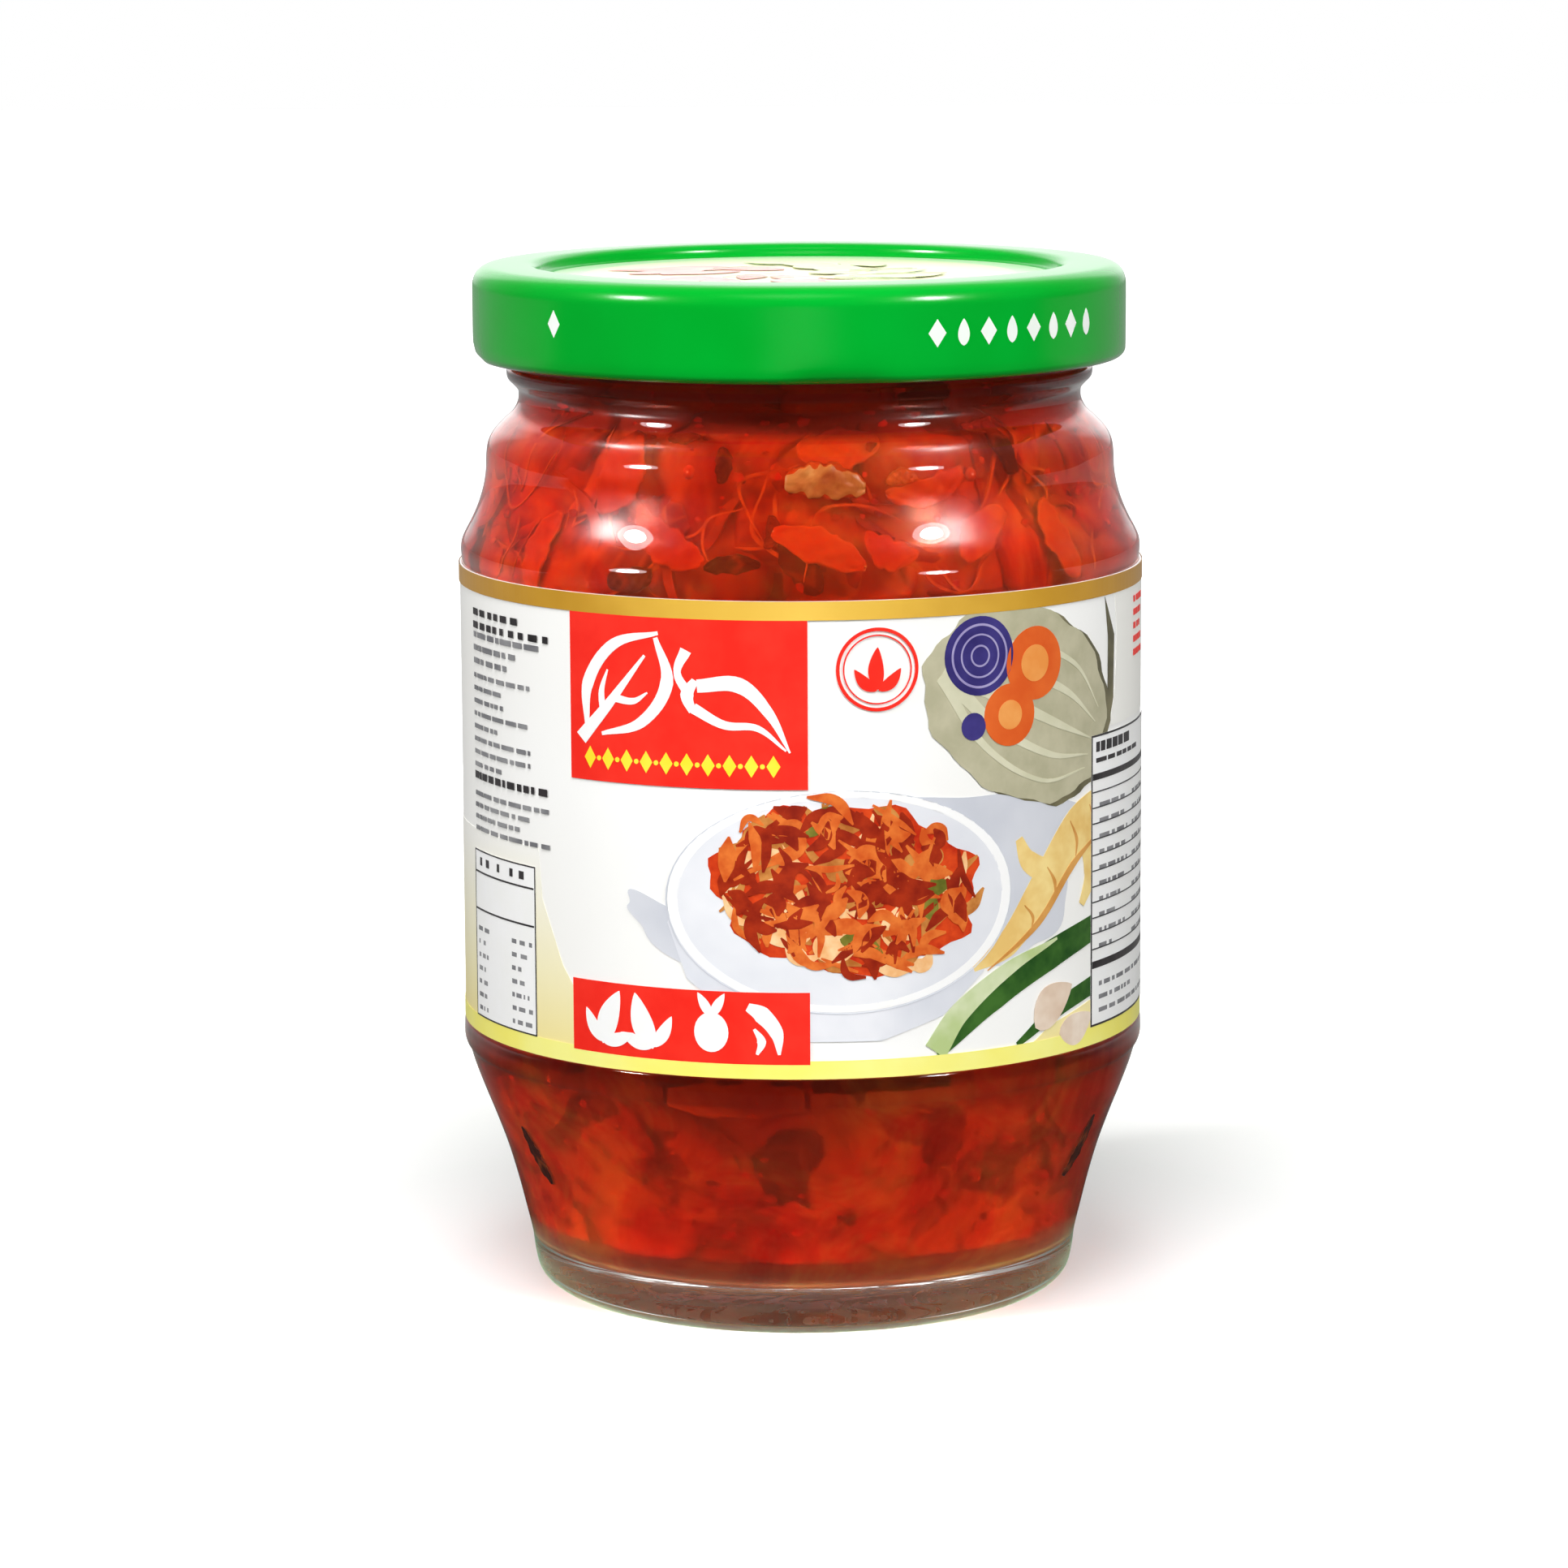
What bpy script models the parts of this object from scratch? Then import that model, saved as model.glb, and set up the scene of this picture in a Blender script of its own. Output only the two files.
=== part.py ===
"""A shut glass jar of kimchi, with a lug cap and a wrap label.

Units are metres. The jar stands on z = 0 with its axis on Z, and the label's front faces -Y.
"""

import math
import random

import bmesh
import bpy
from mathutils import Vector

OBJECT_NAME = "kimchi_jar"
STEPS = 48                      # facets round every turned piece
MERGE = 0.00001                 # merge distance, far below the smallest feature
TOUCH = 0.0003                  # gap kept between pieces that touch
TURN = 2.0 * math.pi

# Glass, outside
BEARING_RADIUS = 0.0265         # ring that the jar stands on
HEEL_RADIUS = 0.0308
HEEL_TOP = 0.0036
PUSH_UP_HEIGHT = 0.0024         # hollow under the base
PUSH_UP_RADIUS = 0.0225
RIDGE_RADIUS = 0.0385           # shelf under the label, the widest ring of the jar
RIDGE_BOTTOM = 0.0282
RIDGE_TOP = 0.0298
PANEL_RADIUS = 0.03785          # cylinder that carries the label
PANEL_BOTTOM = 0.0303
PANEL_TOP = 0.0831
SHOULDER_RADIUS = 0.0381
SHOULDER_BOTTOM = 0.0838
WAIST_RADIUS = 0.03515          # nearly straight stretch between the two shoulder curves
WAIST_LOW_RADIUS = 0.03525
WAIST_BOTTOM = 0.0926
WAIST_TOP = 0.0945
NECK_RADIUS = 0.03145
NECK_BOTTOM = 0.1009
NECK_TOP = 0.1019
BEAD_RADIUS = 0.0327            # transfer bead just under the cap
BEAD_BOTTOM = 0.1031
BEAD_TOP = 0.1042
FINISH_RADIUS = 0.0324          # wall of the mouth, which carries the thread
FINISH_STEP = 0.0004            # slope from the bead back to the mouth's wall
LIP_TOP = 0.1150
LIP_ROUND = 0.0010
BULGE_OUT = 0.0001              # the neck's curve bulges a little past the middle of its chord
BULGE_UP = 0.0006
BULGE_SLOPE = -1.15             # change of radius for each metre of height, where it is steepest
SHOULDER_SLOPE = -0.05
TAPER_STEP = 0.0006             # from the ridge in to the taper below it
TAPER_SLOPE_TOP = 0.33
TAPER_SLOPE_HEEL = 0.15
HEEL_CUT = 0.0009               # rounding of the heel, as a chamfer
HEEL_CUT_HEIGHT = 0.0012
BEARING_HALF_WIDTH = 0.0016

# Glass, inside
FLOOR_HEIGHT = 0.0072           # at the axis, over the push-up
FLOOR_RIM_HEIGHT = 0.0056
FLOOR_RIM_RADIUS = 0.0240
FLOOR_FALL = 0.0004             # from the middle of the floor to over half way out
CORNER_ROUND = 0.0042           # between the floor and the wall
INSIDE_HEEL_SLOPE = 0.2
INSIDE_TAPER_SLOPE = 0.15
INSIDE_HEEL_RADIUS = 0.0288
INSIDE_BODY_RADIUS = 0.0356
INSIDE_WAIST_RADIUS = 0.0328
INSIDE_WAIST_TOP_RADIUS = 0.0326
INSIDE_NECK_RADIUS = 0.0292
MOUTH_RADIUS = 0.0303
MOUTH_BOTTOM = 0.1062

# Thread on the mouth: four ramps, each with a cap lug under its low end
LUGS = 4
FIRST_LUG_ANGLE = math.radians(-83.0)
LUG_SPAN = math.radians(15.0)
RAMP_SPAN = math.radians(62.0)
RAMP_LEAD = math.radians(9.0)   # how far a ramp's low end runs past its lug
RAMP_RISE = 0.0021
RAMP_RADIUS = 0.0340
RAMP_BASE_RADIUS = 0.0318       # inside the mouth's wall, so that the ramp fuses to it
RAMP_HEIGHT = 0.0013
RAMP_ROOT_DROP = 0.0003         # its underside slopes down into the wall
RAMP_STEPS = 7

# Cap
CAP_RADIUS = 0.03645
CAP_TOP = 0.1158
CAP_BOTTOM = 0.1053
CAP_SHEET = 0.00045
CAP_SHOULDER_ROUND = 0.0021
CREST_INNER_RADIUS = 0.0305
CREST_INNER_STEP = 0.0006       # inner edge of the crest, from the panel's wall
CREST_INNER_DROP = 0.0005
CAP_PANEL_RADIUS = 0.0289
CAP_PANEL_HEIGHT = 0.1143
CURL_ROUND = 0.00105            # rolled bottom edge
LUG_TOP = 0.1062
LUG_THICKNESS = 0.0007
LUG_TIP_RADIUS = 0.0333
LUG_ROOT_RADIUS = 0.0352
LUG_STEPS = 3

# Label
LABEL_BOTTOM = 0.0309
LABEL_TOP = 0.0826
LABEL_THICKNESS = 0.00025
LABEL_SEAM_GAP = math.radians(18.0)   # bare glass at the back, between the label's ends
BACK_ANGLE = math.radians(90.0)

# Kimchi
FILL_HEIGHT = 0.1060
CORE_INSET = 0.0026             # from the glass to the core that the pieces are fused on
CORE_ROWS = 11
CORE_STEPS = 24
CORE_FLOOR_GAP = 0.0004         # over the glass floor, besides the gap kept to all that touches
CORE_DOME = 0.0012              # rise of the core's top towards the middle
CORE_TOP_DROP = 0.0022          # from the fill height to the edge of that dome
CORE_EDGE = 0.0008              # height of the rounded edges at the core's top and bottom
CORE_EDGE_INSET = 0.0010
PIECE_INSET = 0.0011            # from the glass to a piece's outer face, at its nearest
SQUEEZE = 0.12                  # how much of a piece's overshoot is kept at the floor and top
TOP_CLEARANCE = 0.0010          # from the fill height to the highest edge of a pressed piece
HEIGHT_JITTER = 0.0012
TILT_JITTER = 0.9
SIZE_JITTER = (0.8, 1.2)
SEED = 7

# Pieces round the glass: kind, heights of their rows, pieces in a row, (length, width, thickness),
# and (columns, rows, ripple, taper) of the mesh
PIECE_LAYOUT = (
    ("leaf", (0.0165, 0.0900), 7, (0.024, 0.0130, 0.0019), (4, 2, 0.0007, 0.75)),
    ("leaf", (0.0400, 0.0680), 3, (0.026, 0.0160, 0.0019), (4, 2, 0.0008, 0.75)),
    ("rib", (0.0230, 0.0975), 3, (0.017, 0.0065, 0.0024), (3, 1, 0.0004, 0.5)),
    ("shred", (0.0260, 0.0840), 6, (0.018, 0.0024, 0.0020), (3, 1, 0.0005, 0.2)),
)

# Leaves on top, under the cap
TOP_LEAVES = 4
TOP_LEAF_SIZE = (0.022, 0.014, 0.0014)
TOP_LEAF_DISTANCE = 0.015
TOP_LEAF_JITTER = 0.002
TOP_LEAF_DROP = 0.0028
TOP_LEAF_WAVE = 0.0012
TOP_LEAF_GRID = (4, 2)


def clear_scene():
    for old in list(bpy.data.objects):
        bpy.data.objects.remove(old, do_unlink=True)


def make_collection(name):
    made = bpy.data.collections.new(name)
    bpy.context.scene.collection.children.link(made)
    return made


def make_material(name, color, roughness, metallic=0.0, transmission=0.0, ior=1.45):
    material = bpy.data.materials.new(name)
    material.use_nodes = True
    shader = material.node_tree.nodes["Principled BSDF"]
    shader.inputs["Base Color"].default_value = (*color, 1.0)
    shader.inputs["Roughness"].default_value = roughness
    shader.inputs["Metallic"].default_value = metallic
    shader.inputs["Transmission Weight"].default_value = transmission
    shader.inputs["IOR"].default_value = ior
    return material


def add_object(name, mesh, collection, material=None):
    made = bpy.data.objects.new(name, mesh)
    collection.objects.link(made)
    if material is not None:
        mesh.materials.append(material)
    return made


def ring_point(radius, angle, height):
    return Vector((radius * math.cos(angle), radius * math.sin(angle), height))


def arc(centre_radius, centre_height, radius, start, end, count):
    """Profile points on an arc. Its angles are in degrees, 0 outwards and 90 up."""
    points = []
    for i in range(count + 1):
        angle = math.radians(start + (end - start) * i / count)
        points.append((
            centre_radius + radius * math.cos(angle),
            centre_height + radius * math.sin(angle),
        ))
    return points


def sweep(low, high, low_slope, high_slope, count):
    """Profile points on a cubic from high down to low, both (radius, height).

    A slope is the change of radius for each metre of height. Neither end point is included.
    """
    span = high[1] - low[1]
    points = []
    for i in range(1, count):
        t = 1.0 - i / count
        t2 = t * t
        t3 = t2 * t
        radius = (
            (2 * t3 - 3 * t2 + 1) * low[0]
            + (t3 - 2 * t2 + t) * span * low_slope
            + (3 * t2 - 2 * t3) * high[0]
            + (t3 - t2) * span * high_slope
        )
        points.append((radius, low[1] + span * t))
    return points


def profile_mesh(name, points, closed=False):
    """Edges through (radius, height) points in the XZ plane, ready for a Screw."""
    mesh = bpy.data.meshes.new(name)
    edges = [(i, i + 1) for i in range(len(points) - 1)]
    if closed:
        edges.append((len(points) - 1, 0))
    mesh.from_pydata([(radius, 0.0, height) for radius, height in points], edges, [])
    return mesh


def add_screw(target, angle=TURN, steps=STEPS, rise=0.0):
    screw = target.modifiers.new("turn", "SCREW")
    screw.angle = angle
    screw.steps = steps
    screw.render_steps = steps
    screw.screw_offset = rise
    screw.use_merge_vertices = True
    screw.merge_threshold = MERGE
    screw.use_smooth_shade = True
    return screw


def bake(target):
    """Replaces an object's mesh by its evaluated one, in world space, without modifiers."""
    graph = bpy.context.evaluated_depsgraph_get()
    mesh = bpy.data.meshes.new_from_object(target.evaluated_get(graph))
    mesh.transform(target.matrix_world)
    target.modifiers.clear()
    target.data = mesh
    target.matrix_world.identity()


def cap_ends(target):
    """Closes the open ends of a baked sweep."""
    work = bmesh.new()
    work.from_mesh(target.data)
    rim = [edge for edge in work.edges if edge.is_boundary]
    bmesh.ops.holes_fill(work, edges=rim)
    bmesh.ops.recalc_face_normals(work, faces=work.faces)
    work.to_mesh(target.data)
    work.free()


def swept_arc(name, section, start, span, steps, rise, collection):
    """A closed section turned through part of a circle, with its ends capped."""
    made = add_object(name, profile_mesh(name, section, closed=True), collection)
    made.rotation_euler.z = start
    add_screw(made, angle=span, steps=steps, rise=rise)
    bpy.context.view_layer.update()
    bake(made)
    cap_ends(made)
    return made


def islands(work):
    """Splits a bmesh's faces into groups that share edges."""
    left = set(work.faces)
    groups = []
    while left:
        stack = [left.pop()]
        group = list(stack)
        while stack:
            for edge in stack.pop().edges:
                for face in edge.link_faces:
                    if face in left:
                        left.remove(face)
                        stack.append(face)
                        group.append(face)
        groups.append(group)
    return groups


def keep_outer_shell(mesh):
    """Fills sealed hollows and drops loose scraps, which leaves the one largest shell."""
    work = bmesh.new()
    work.from_mesh(mesh)
    bmesh.ops.triangulate(work, faces=work.faces, quad_method="FIXED", ngon_method="EAR_CLIP")
    groups = islands(work)
    groups.sort(key=len)
    scraps = [face for group in groups[:-1] for face in group]
    bmesh.ops.delete(work, geom=scraps, context="FACES")
    work.to_mesh(mesh)
    work.free()


def fuse(target, pieces, solver="EXACT"):
    """Joins pieces to target by one union, then removes them."""
    group = bpy.data.collections.new(target.name + "_pieces")
    for piece in pieces:
        group.objects.link(piece)
    union = target.modifiers.new("fuse", "BOOLEAN")
    union.operation = "UNION"
    union.operand_type = "COLLECTION"
    union.collection = group
    union.solver = solver
    bpy.context.view_layer.update()
    bake(target)
    for piece in pieces:
        bpy.data.objects.remove(piece, do_unlink=True)
    bpy.data.collections.remove(group)
    keep_outer_shell(target.data)


def lug_angles():
    return [FIRST_LUG_ANGLE + TURN * i / LUGS for i in range(LUGS)]


def glass_outside():
    """The jar's outer profile from the lip down to the middle of the underside."""
    points = arc(FINISH_RADIUS - LIP_ROUND, LIP_TOP - LIP_ROUND, LIP_ROUND, 90, 0, 2)
    points.append((FINISH_RADIUS, BEAD_TOP + FINISH_STEP))
    points.append((BEAD_RADIUS, BEAD_TOP))
    points.append((BEAD_RADIUS, BEAD_BOTTOM))
    points.append((NECK_RADIUS, NECK_TOP))
    neck = (NECK_RADIUS, NECK_BOTTOM)
    middle_radius = 0.5 * (NECK_RADIUS + WAIST_RADIUS)
    middle_height = 0.5 * (NECK_BOTTOM + WAIST_TOP)
    bulge = (middle_radius + BULGE_OUT, middle_height + BULGE_UP)
    waist_top = (WAIST_RADIUS, WAIST_TOP)
    waist_bottom = (WAIST_LOW_RADIUS, WAIST_BOTTOM)
    shoulder = (SHOULDER_RADIUS, SHOULDER_BOTTOM)
    points += [neck, *sweep(bulge, neck, BULGE_SLOPE, 0.0, 2), bulge]
    points += [*sweep(waist_top, bulge, 0.0, BULGE_SLOPE, 3), waist_top, waist_bottom]
    points += [*sweep(shoulder, waist_bottom, SHOULDER_SLOPE, 0.0, 4), shoulder]
    points.append((PANEL_RADIUS, PANEL_TOP))
    points.append((PANEL_RADIUS, PANEL_BOTTOM))
    points.append((RIDGE_RADIUS, RIDGE_TOP))
    points.append((RIDGE_RADIUS, RIDGE_BOTTOM))
    taper_top = (PANEL_RADIUS, RIDGE_BOTTOM - TAPER_STEP)
    heel = (HEEL_RADIUS, HEEL_TOP)
    points += [taper_top, *sweep(heel, taper_top, TAPER_SLOPE_HEEL, TAPER_SLOPE_TOP, 5), heel]
    points.append((HEEL_RADIUS - HEEL_CUT, HEEL_CUT_HEIGHT))
    points.append((BEARING_RADIUS + BEARING_HALF_WIDTH, 0.0))
    points.append((BEARING_RADIUS - BEARING_HALF_WIDTH, 0.0))
    points.append((PUSH_UP_RADIUS, 0.6 * PUSH_UP_HEIGHT))
    points.append((0.5 * PUSH_UP_RADIUS, PUSH_UP_HEIGHT))
    points.append((0.0, PUSH_UP_HEIGHT))
    return points


def glass_inside():
    """The jar's inner profile from the middle of the floor up to the lip."""
    corner_height = FLOOR_RIM_HEIGHT + CORNER_ROUND
    points = [(0.0, FLOOR_HEIGHT), (0.6 * FLOOR_RIM_RADIUS, FLOOR_HEIGHT - FLOOR_FALL)]
    points += arc(INSIDE_HEEL_RADIUS - CORNER_ROUND, corner_height, CORNER_ROUND, -90, 0, 3)
    low_body = (INSIDE_BODY_RADIUS, PANEL_BOTTOM)
    taper = sweep(points[-1], low_body, INSIDE_HEEL_SLOPE, INSIDE_TAPER_SLOPE, 4)
    points += [*reversed(taper), low_body]
    body_top = (INSIDE_BODY_RADIUS, PANEL_TOP)
    waist_bottom = (INSIDE_WAIST_RADIUS, WAIST_BOTTOM)
    waist_top = (INSIDE_WAIST_TOP_RADIUS, WAIST_TOP)
    neck = (INSIDE_NECK_RADIUS, NECK_BOTTOM)
    points += [body_top, *reversed(sweep(body_top, waist_bottom, 0.0, 0.0, 3)), waist_bottom]
    points += [waist_top, *reversed(sweep(waist_top, neck, 0.0, 0.0, 3)), neck]
    points.append((INSIDE_NECK_RADIUS, BEAD_BOTTOM))
    points.append((MOUTH_RADIUS, MOUTH_BOTTOM))
    points.append((MOUTH_RADIUS, LIP_TOP - 0.5 * LIP_ROUND))
    return points


def thread_ramps(collection):
    """Four ramps that the cap's lugs slide under. Each is lowest just past its lug."""
    low = LUG_TOP + TOUCH
    section = [
        (RAMP_BASE_RADIUS, low - RAMP_ROOT_DROP),
        (RAMP_RADIUS, low),
        (RAMP_RADIUS, low + 0.5 * RAMP_HEIGHT),
        (RAMP_BASE_RADIUS, low + RAMP_HEIGHT),
    ]
    section.reverse()
    return [
        swept_arc("ramp", section, angle - RAMP_LEAD, RAMP_SPAN, RAMP_STEPS, RAMP_RISE, collection)
        for angle in lug_angles()
    ]


def build_glass(collection, work):
    points = glass_inside() + glass_outside()
    glass = make_material("clear_glass", (0.93, 0.96, 0.94), 0.03, transmission=1.0, ior=1.5)
    jar = add_object("jar", profile_mesh("jar", points), collection, glass)
    add_screw(jar)
    bpy.context.view_layer.update()
    bake(jar)
    fuse(jar, thread_ramps(work))
    return jar


def cap_profile():
    """The cap's outer face, from the middle of its panel out, down and round the curl."""
    shoulder = CAP_RADIUS - CAP_SHOULDER_ROUND
    points = [(0.0, CAP_PANEL_HEIGHT), (CAP_PANEL_RADIUS, CAP_PANEL_HEIGHT)]
    points.append((CAP_PANEL_RADIUS + CREST_INNER_STEP, CAP_TOP - CREST_INNER_DROP))
    points.append((CREST_INNER_RADIUS, CAP_TOP))
    points += arc(shoulder, CAP_TOP - CAP_SHOULDER_ROUND, CAP_SHOULDER_ROUND, 90, 0, 3)
    points += arc(CAP_RADIUS - CURL_ROUND, CAP_BOTTOM + CURL_ROUND, CURL_ROUND, 0, -180, 4)
    return points


def cap_lugs(collection):
    """Flat tabs that reach in from the curl, under the thread."""
    section = [
        (LUG_TIP_RADIUS, LUG_TOP),
        (LUG_ROOT_RADIUS, LUG_TOP),
        (LUG_ROOT_RADIUS, LUG_TOP - LUG_THICKNESS),
        (LUG_TIP_RADIUS, LUG_TOP - LUG_THICKNESS),
    ]
    return [
        swept_arc("lug", section, angle - 0.5 * LUG_SPAN, LUG_SPAN, LUG_STEPS, 0.0, collection)
        for angle in lug_angles()
    ]


def build_cap(collection, work):
    lacquer = make_material("green_lacquer", (0.0, 0.42, 0.04), 0.25, metallic=0.2)
    cap = add_object("lid", profile_mesh("lid", cap_profile()), collection, lacquer)
    add_screw(cap)
    sheet = cap.modifiers.new("sheet", "SOLIDIFY")
    sheet.thickness = CAP_SHEET
    sheet.offset = -1.0
    bpy.context.view_layer.update()
    bake(cap)
    fuse(cap, cap_lugs(work))
    return cap


def build_label(collection):
    """A thin wrap round the glass, with its ends apart at the back."""
    inner = PANEL_RADIUS + TOUCH
    outer = inner + LABEL_THICKNESS
    section = [
        (outer, LABEL_TOP),
        (outer, LABEL_BOTTOM),
        (inner, LABEL_BOTTOM),
        (inner, LABEL_TOP),
    ]
    start = BACK_ANGLE + 0.5 * LABEL_SEAM_GAP
    label = swept_arc("label", section, start, TURN - LABEL_SEAM_GAP, STEPS, 0.0, collection)
    paper = make_material("printed_paper", (0.95, 0.93, 0.9), 0.5)
    label.data.materials.append(paper)
    return label


def inside_radius(height):
    """The glass's inner radius at a height, read along its own profile."""
    wall = glass_inside()[2:]
    if height <= wall[0][1]:
        return wall[0][0]
    for low, high in zip(wall, wall[1:]):
        if low[1] <= height <= high[1] and high[1] > low[1]:
            share = (height - low[1]) / (high[1] - low[1])
            return low[0] + share * (high[0] - low[0])
    return wall[-1][0]


def food_core(collection, material):
    """The packed body of the kimchi, a little inside the glass."""
    low = FLOOR_HEIGHT + TOUCH + CORE_FLOOR_GAP
    high = FILL_HEIGHT - CORE_TOP_DROP
    side_top = high - CORE_EDGE
    points = [(0.0, high), (0.5 * INSIDE_NECK_RADIUS, high + CORE_DOME)]
    for i in range(CORE_ROWS + 1):
        height = side_top + (low - side_top) * i / CORE_ROWS
        inset = CORE_INSET + (CORE_EDGE_INSET if i in (0, CORE_ROWS) else 0.0)
        points.append((inside_radius(height) - inset, height))
    points.append((0.0, low))
    core = add_object("kimchi", profile_mesh("kimchi", points), collection, material)
    add_screw(core, steps=CORE_STEPS)
    bpy.context.view_layer.update()
    bake(core)
    return core


def sheet_solid(name, outer, inner, columns, rows, collection):
    """A thin solid between two grids of points, with both faces split into triangles alike."""
    work = bmesh.new()
    faces = [[work.verts.new(point) for point in grid] for grid in (outer, inner)]
    top, bottom = faces
    line = columns + 1

    def cell(i, j):
        first = j * line + i
        return first, first + 1, first + line + 1, first + line

    for j in range(rows):
        for i in range(columns):
            a, b, c, d = cell(i, j)
            for one, two, three in ((a, b, c), (a, c, d)):
                work.faces.new((top[one], top[two], top[three]))
                work.faces.new((bottom[three], bottom[two], bottom[one]))
    rim = list(range(line))
    rim += [j * line + columns for j in range(1, rows + 1)]
    rim += [rows * line + i for i in range(columns - 1, -1, -1)]
    rim += [j * line for j in range(rows - 1, 0, -1)]
    for here, there in zip(rim, rim[1:] + rim[:1]):
        work.faces.new((top[here], bottom[here], bottom[there]))
        work.faces.new((top[here], bottom[there], top[there]))
    bmesh.ops.recalc_face_normals(work, faces=work.faces)
    mesh = bpy.data.meshes.new(name)
    work.to_mesh(mesh)
    work.free()
    return add_object(name, mesh, collection)


def ease_inside(value, low, high):
    """Keeps a height near a range: what runs past an end is squeezed, not cut off."""
    if value < low:
        return low - SQUEEZE * (low - value)
    if value > high:
        return high + SQUEEZE * (value - high)
    return value


def pressed_piece(name, place, size, shape, rng, collection):
    """A leaf, rib or shred that lies pressed on the inside of the glass.

    place is (angle, height, tilt), size is (length, width, thickness), and shape is
    (columns, rows, ripple, taper).
    """
    angle, height, tilt = place
    length, width, thickness = size
    columns, rows, ripple, taper = shape
    waves = rng.uniform(1.0, 2.2)
    phase = rng.uniform(0.0, TURN)
    bend = rng.uniform(-0.25, 0.25)
    outer = []
    inner = []
    for j in range(rows + 1):
        across = j / rows - 0.5
        for i in range(columns + 1):
            along = i / columns - 0.5
            narrow = 1.0 - taper * (2.0 * along) ** 2 * rng.uniform(0.8, 1.1)
            u = length * along
            v = width * (across * narrow + bend * (along * along - 0.12))
            z = height + u * math.sin(tilt) + v * math.cos(tilt)
            z = ease_inside(z, FLOOR_RIM_HEIGHT + CORNER_ROUND, FILL_HEIGHT - TOP_CLEARANCE)
            radius = inside_radius(z)
            theta = angle + (u * math.cos(tilt) - v * math.sin(tilt)) / radius
            wave = 0.5 + 0.5 * math.sin(TURN * waves * along + phase + 2.0 * across)
            depth = PIECE_INSET + ripple * wave
            outer.append(ring_point(radius - depth, theta, z))
            inner.append(ring_point(radius - depth - thickness, theta, z))
    return sheet_solid(name, outer, inner, columns, rows, collection)


def top_piece(name, place, size, rng, collection):
    """A leaf that lies on top of the kimchi, under the cap."""
    angle, distance, tilt = place
    length, width, thickness = size
    centre = ring_point(distance, angle, FILL_HEIGHT - TOP_LEAF_DROP)
    direction = Vector((math.cos(tilt), math.sin(tilt), 0.0))
    side = Vector((-direction.y, direction.x, 0.0))
    phase = rng.uniform(0.0, TURN)
    columns, rows = TOP_LEAF_GRID
    outer = []
    inner = []
    for j in range(rows + 1):
        across = j / rows - 0.5
        for i in range(columns + 1):
            along = i / columns - 0.5
            narrow = 1.0 - 1.6 * along * along
            lift = TOP_LEAF_WAVE * math.sin(5.0 * along + phase + 2.0 * across)
            point = centre + direction * (length * along) + side * (width * across * narrow)
            outer.append(point + Vector((0.0, 0.0, lift + 0.5 * thickness)))
            inner.append(point + Vector((0.0, 0.0, lift - 0.5 * thickness)))
    return sheet_solid(name, outer, inner, columns, rows, collection)


def food_pieces(collection):
    """Leaves, ribs and shreds, spread by rows round the glass and over the top."""
    rng = random.Random(SEED)
    pieces = []
    for kind, heights, count, size, shape in PIECE_LAYOUT:
        for row, height in enumerate(heights):
            for i in range(count):
                angle = TURN * (i + 0.5 * (row % 2) + rng.uniform(-0.2, 0.2)) / count
                tilt = rng.uniform(-TILT_JITTER, TILT_JITTER)
                place = (angle, height + rng.uniform(-HEIGHT_JITTER, HEIGHT_JITTER), tilt)
                scale = rng.uniform(*SIZE_JITTER)
                sized = (size[0] * scale, size[1] * scale, size[2])
                pieces.append(pressed_piece(kind, place, sized, shape, rng, collection))
    for i in range(TOP_LEAVES):
        angle = TURN * i / TOP_LEAVES
        distance = TOP_LEAF_DISTANCE + rng.uniform(-TOP_LEAF_JITTER, TOP_LEAF_JITTER)
        place = (angle, distance, angle + rng.uniform(1.0, 2.0))
        pieces.append(top_piece("top_leaf", place, TOP_LEAF_SIZE, rng, collection))
    return pieces


def build_food(collection, work):
    red = make_material("kimchi", (0.55, 0.06, 0.015), 0.35)
    core = food_core(collection, red)
    fuse(core, food_pieces(work), solver="MANIFOLD")
    return core


def shade(target):
    target.data.shade_smooth()
    target.data.set_sharp_from_angle(angle=math.radians(38.0))


def main():
    clear_scene()
    parts = make_collection(OBJECT_NAME)
    work = make_collection("work_pieces")
    for made in (
        build_glass(parts, work),
        build_cap(parts, work),
        build_label(parts),
        build_food(parts, work),
    ):
        shade(made)
    bpy.data.collections.remove(work)


main()
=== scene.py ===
"""Looks for the kimchi jar: clear glass, lacquered cap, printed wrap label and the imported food.

Units are metres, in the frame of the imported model: the jar stands on z = 0 and the label faces -Y.
"""

import math

import bmesh
import bpy
import numpy as np
from mathutils import Matrix, Vector

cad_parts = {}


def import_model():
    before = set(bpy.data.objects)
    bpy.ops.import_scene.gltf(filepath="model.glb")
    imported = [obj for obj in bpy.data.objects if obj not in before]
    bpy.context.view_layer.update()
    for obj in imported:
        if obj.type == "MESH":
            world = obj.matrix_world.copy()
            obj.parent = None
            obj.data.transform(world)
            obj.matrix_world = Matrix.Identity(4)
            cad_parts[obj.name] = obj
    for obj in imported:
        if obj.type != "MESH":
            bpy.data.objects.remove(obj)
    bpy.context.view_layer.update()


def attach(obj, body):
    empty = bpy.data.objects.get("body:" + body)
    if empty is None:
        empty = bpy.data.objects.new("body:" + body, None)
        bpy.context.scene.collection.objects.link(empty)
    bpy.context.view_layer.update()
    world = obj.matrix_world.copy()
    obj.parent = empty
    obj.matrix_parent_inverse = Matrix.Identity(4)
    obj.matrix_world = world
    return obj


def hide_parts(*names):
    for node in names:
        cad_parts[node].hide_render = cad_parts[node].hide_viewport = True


MM = 0.001
TURN = 2.0 * math.pi
BODY = "root"

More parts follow.
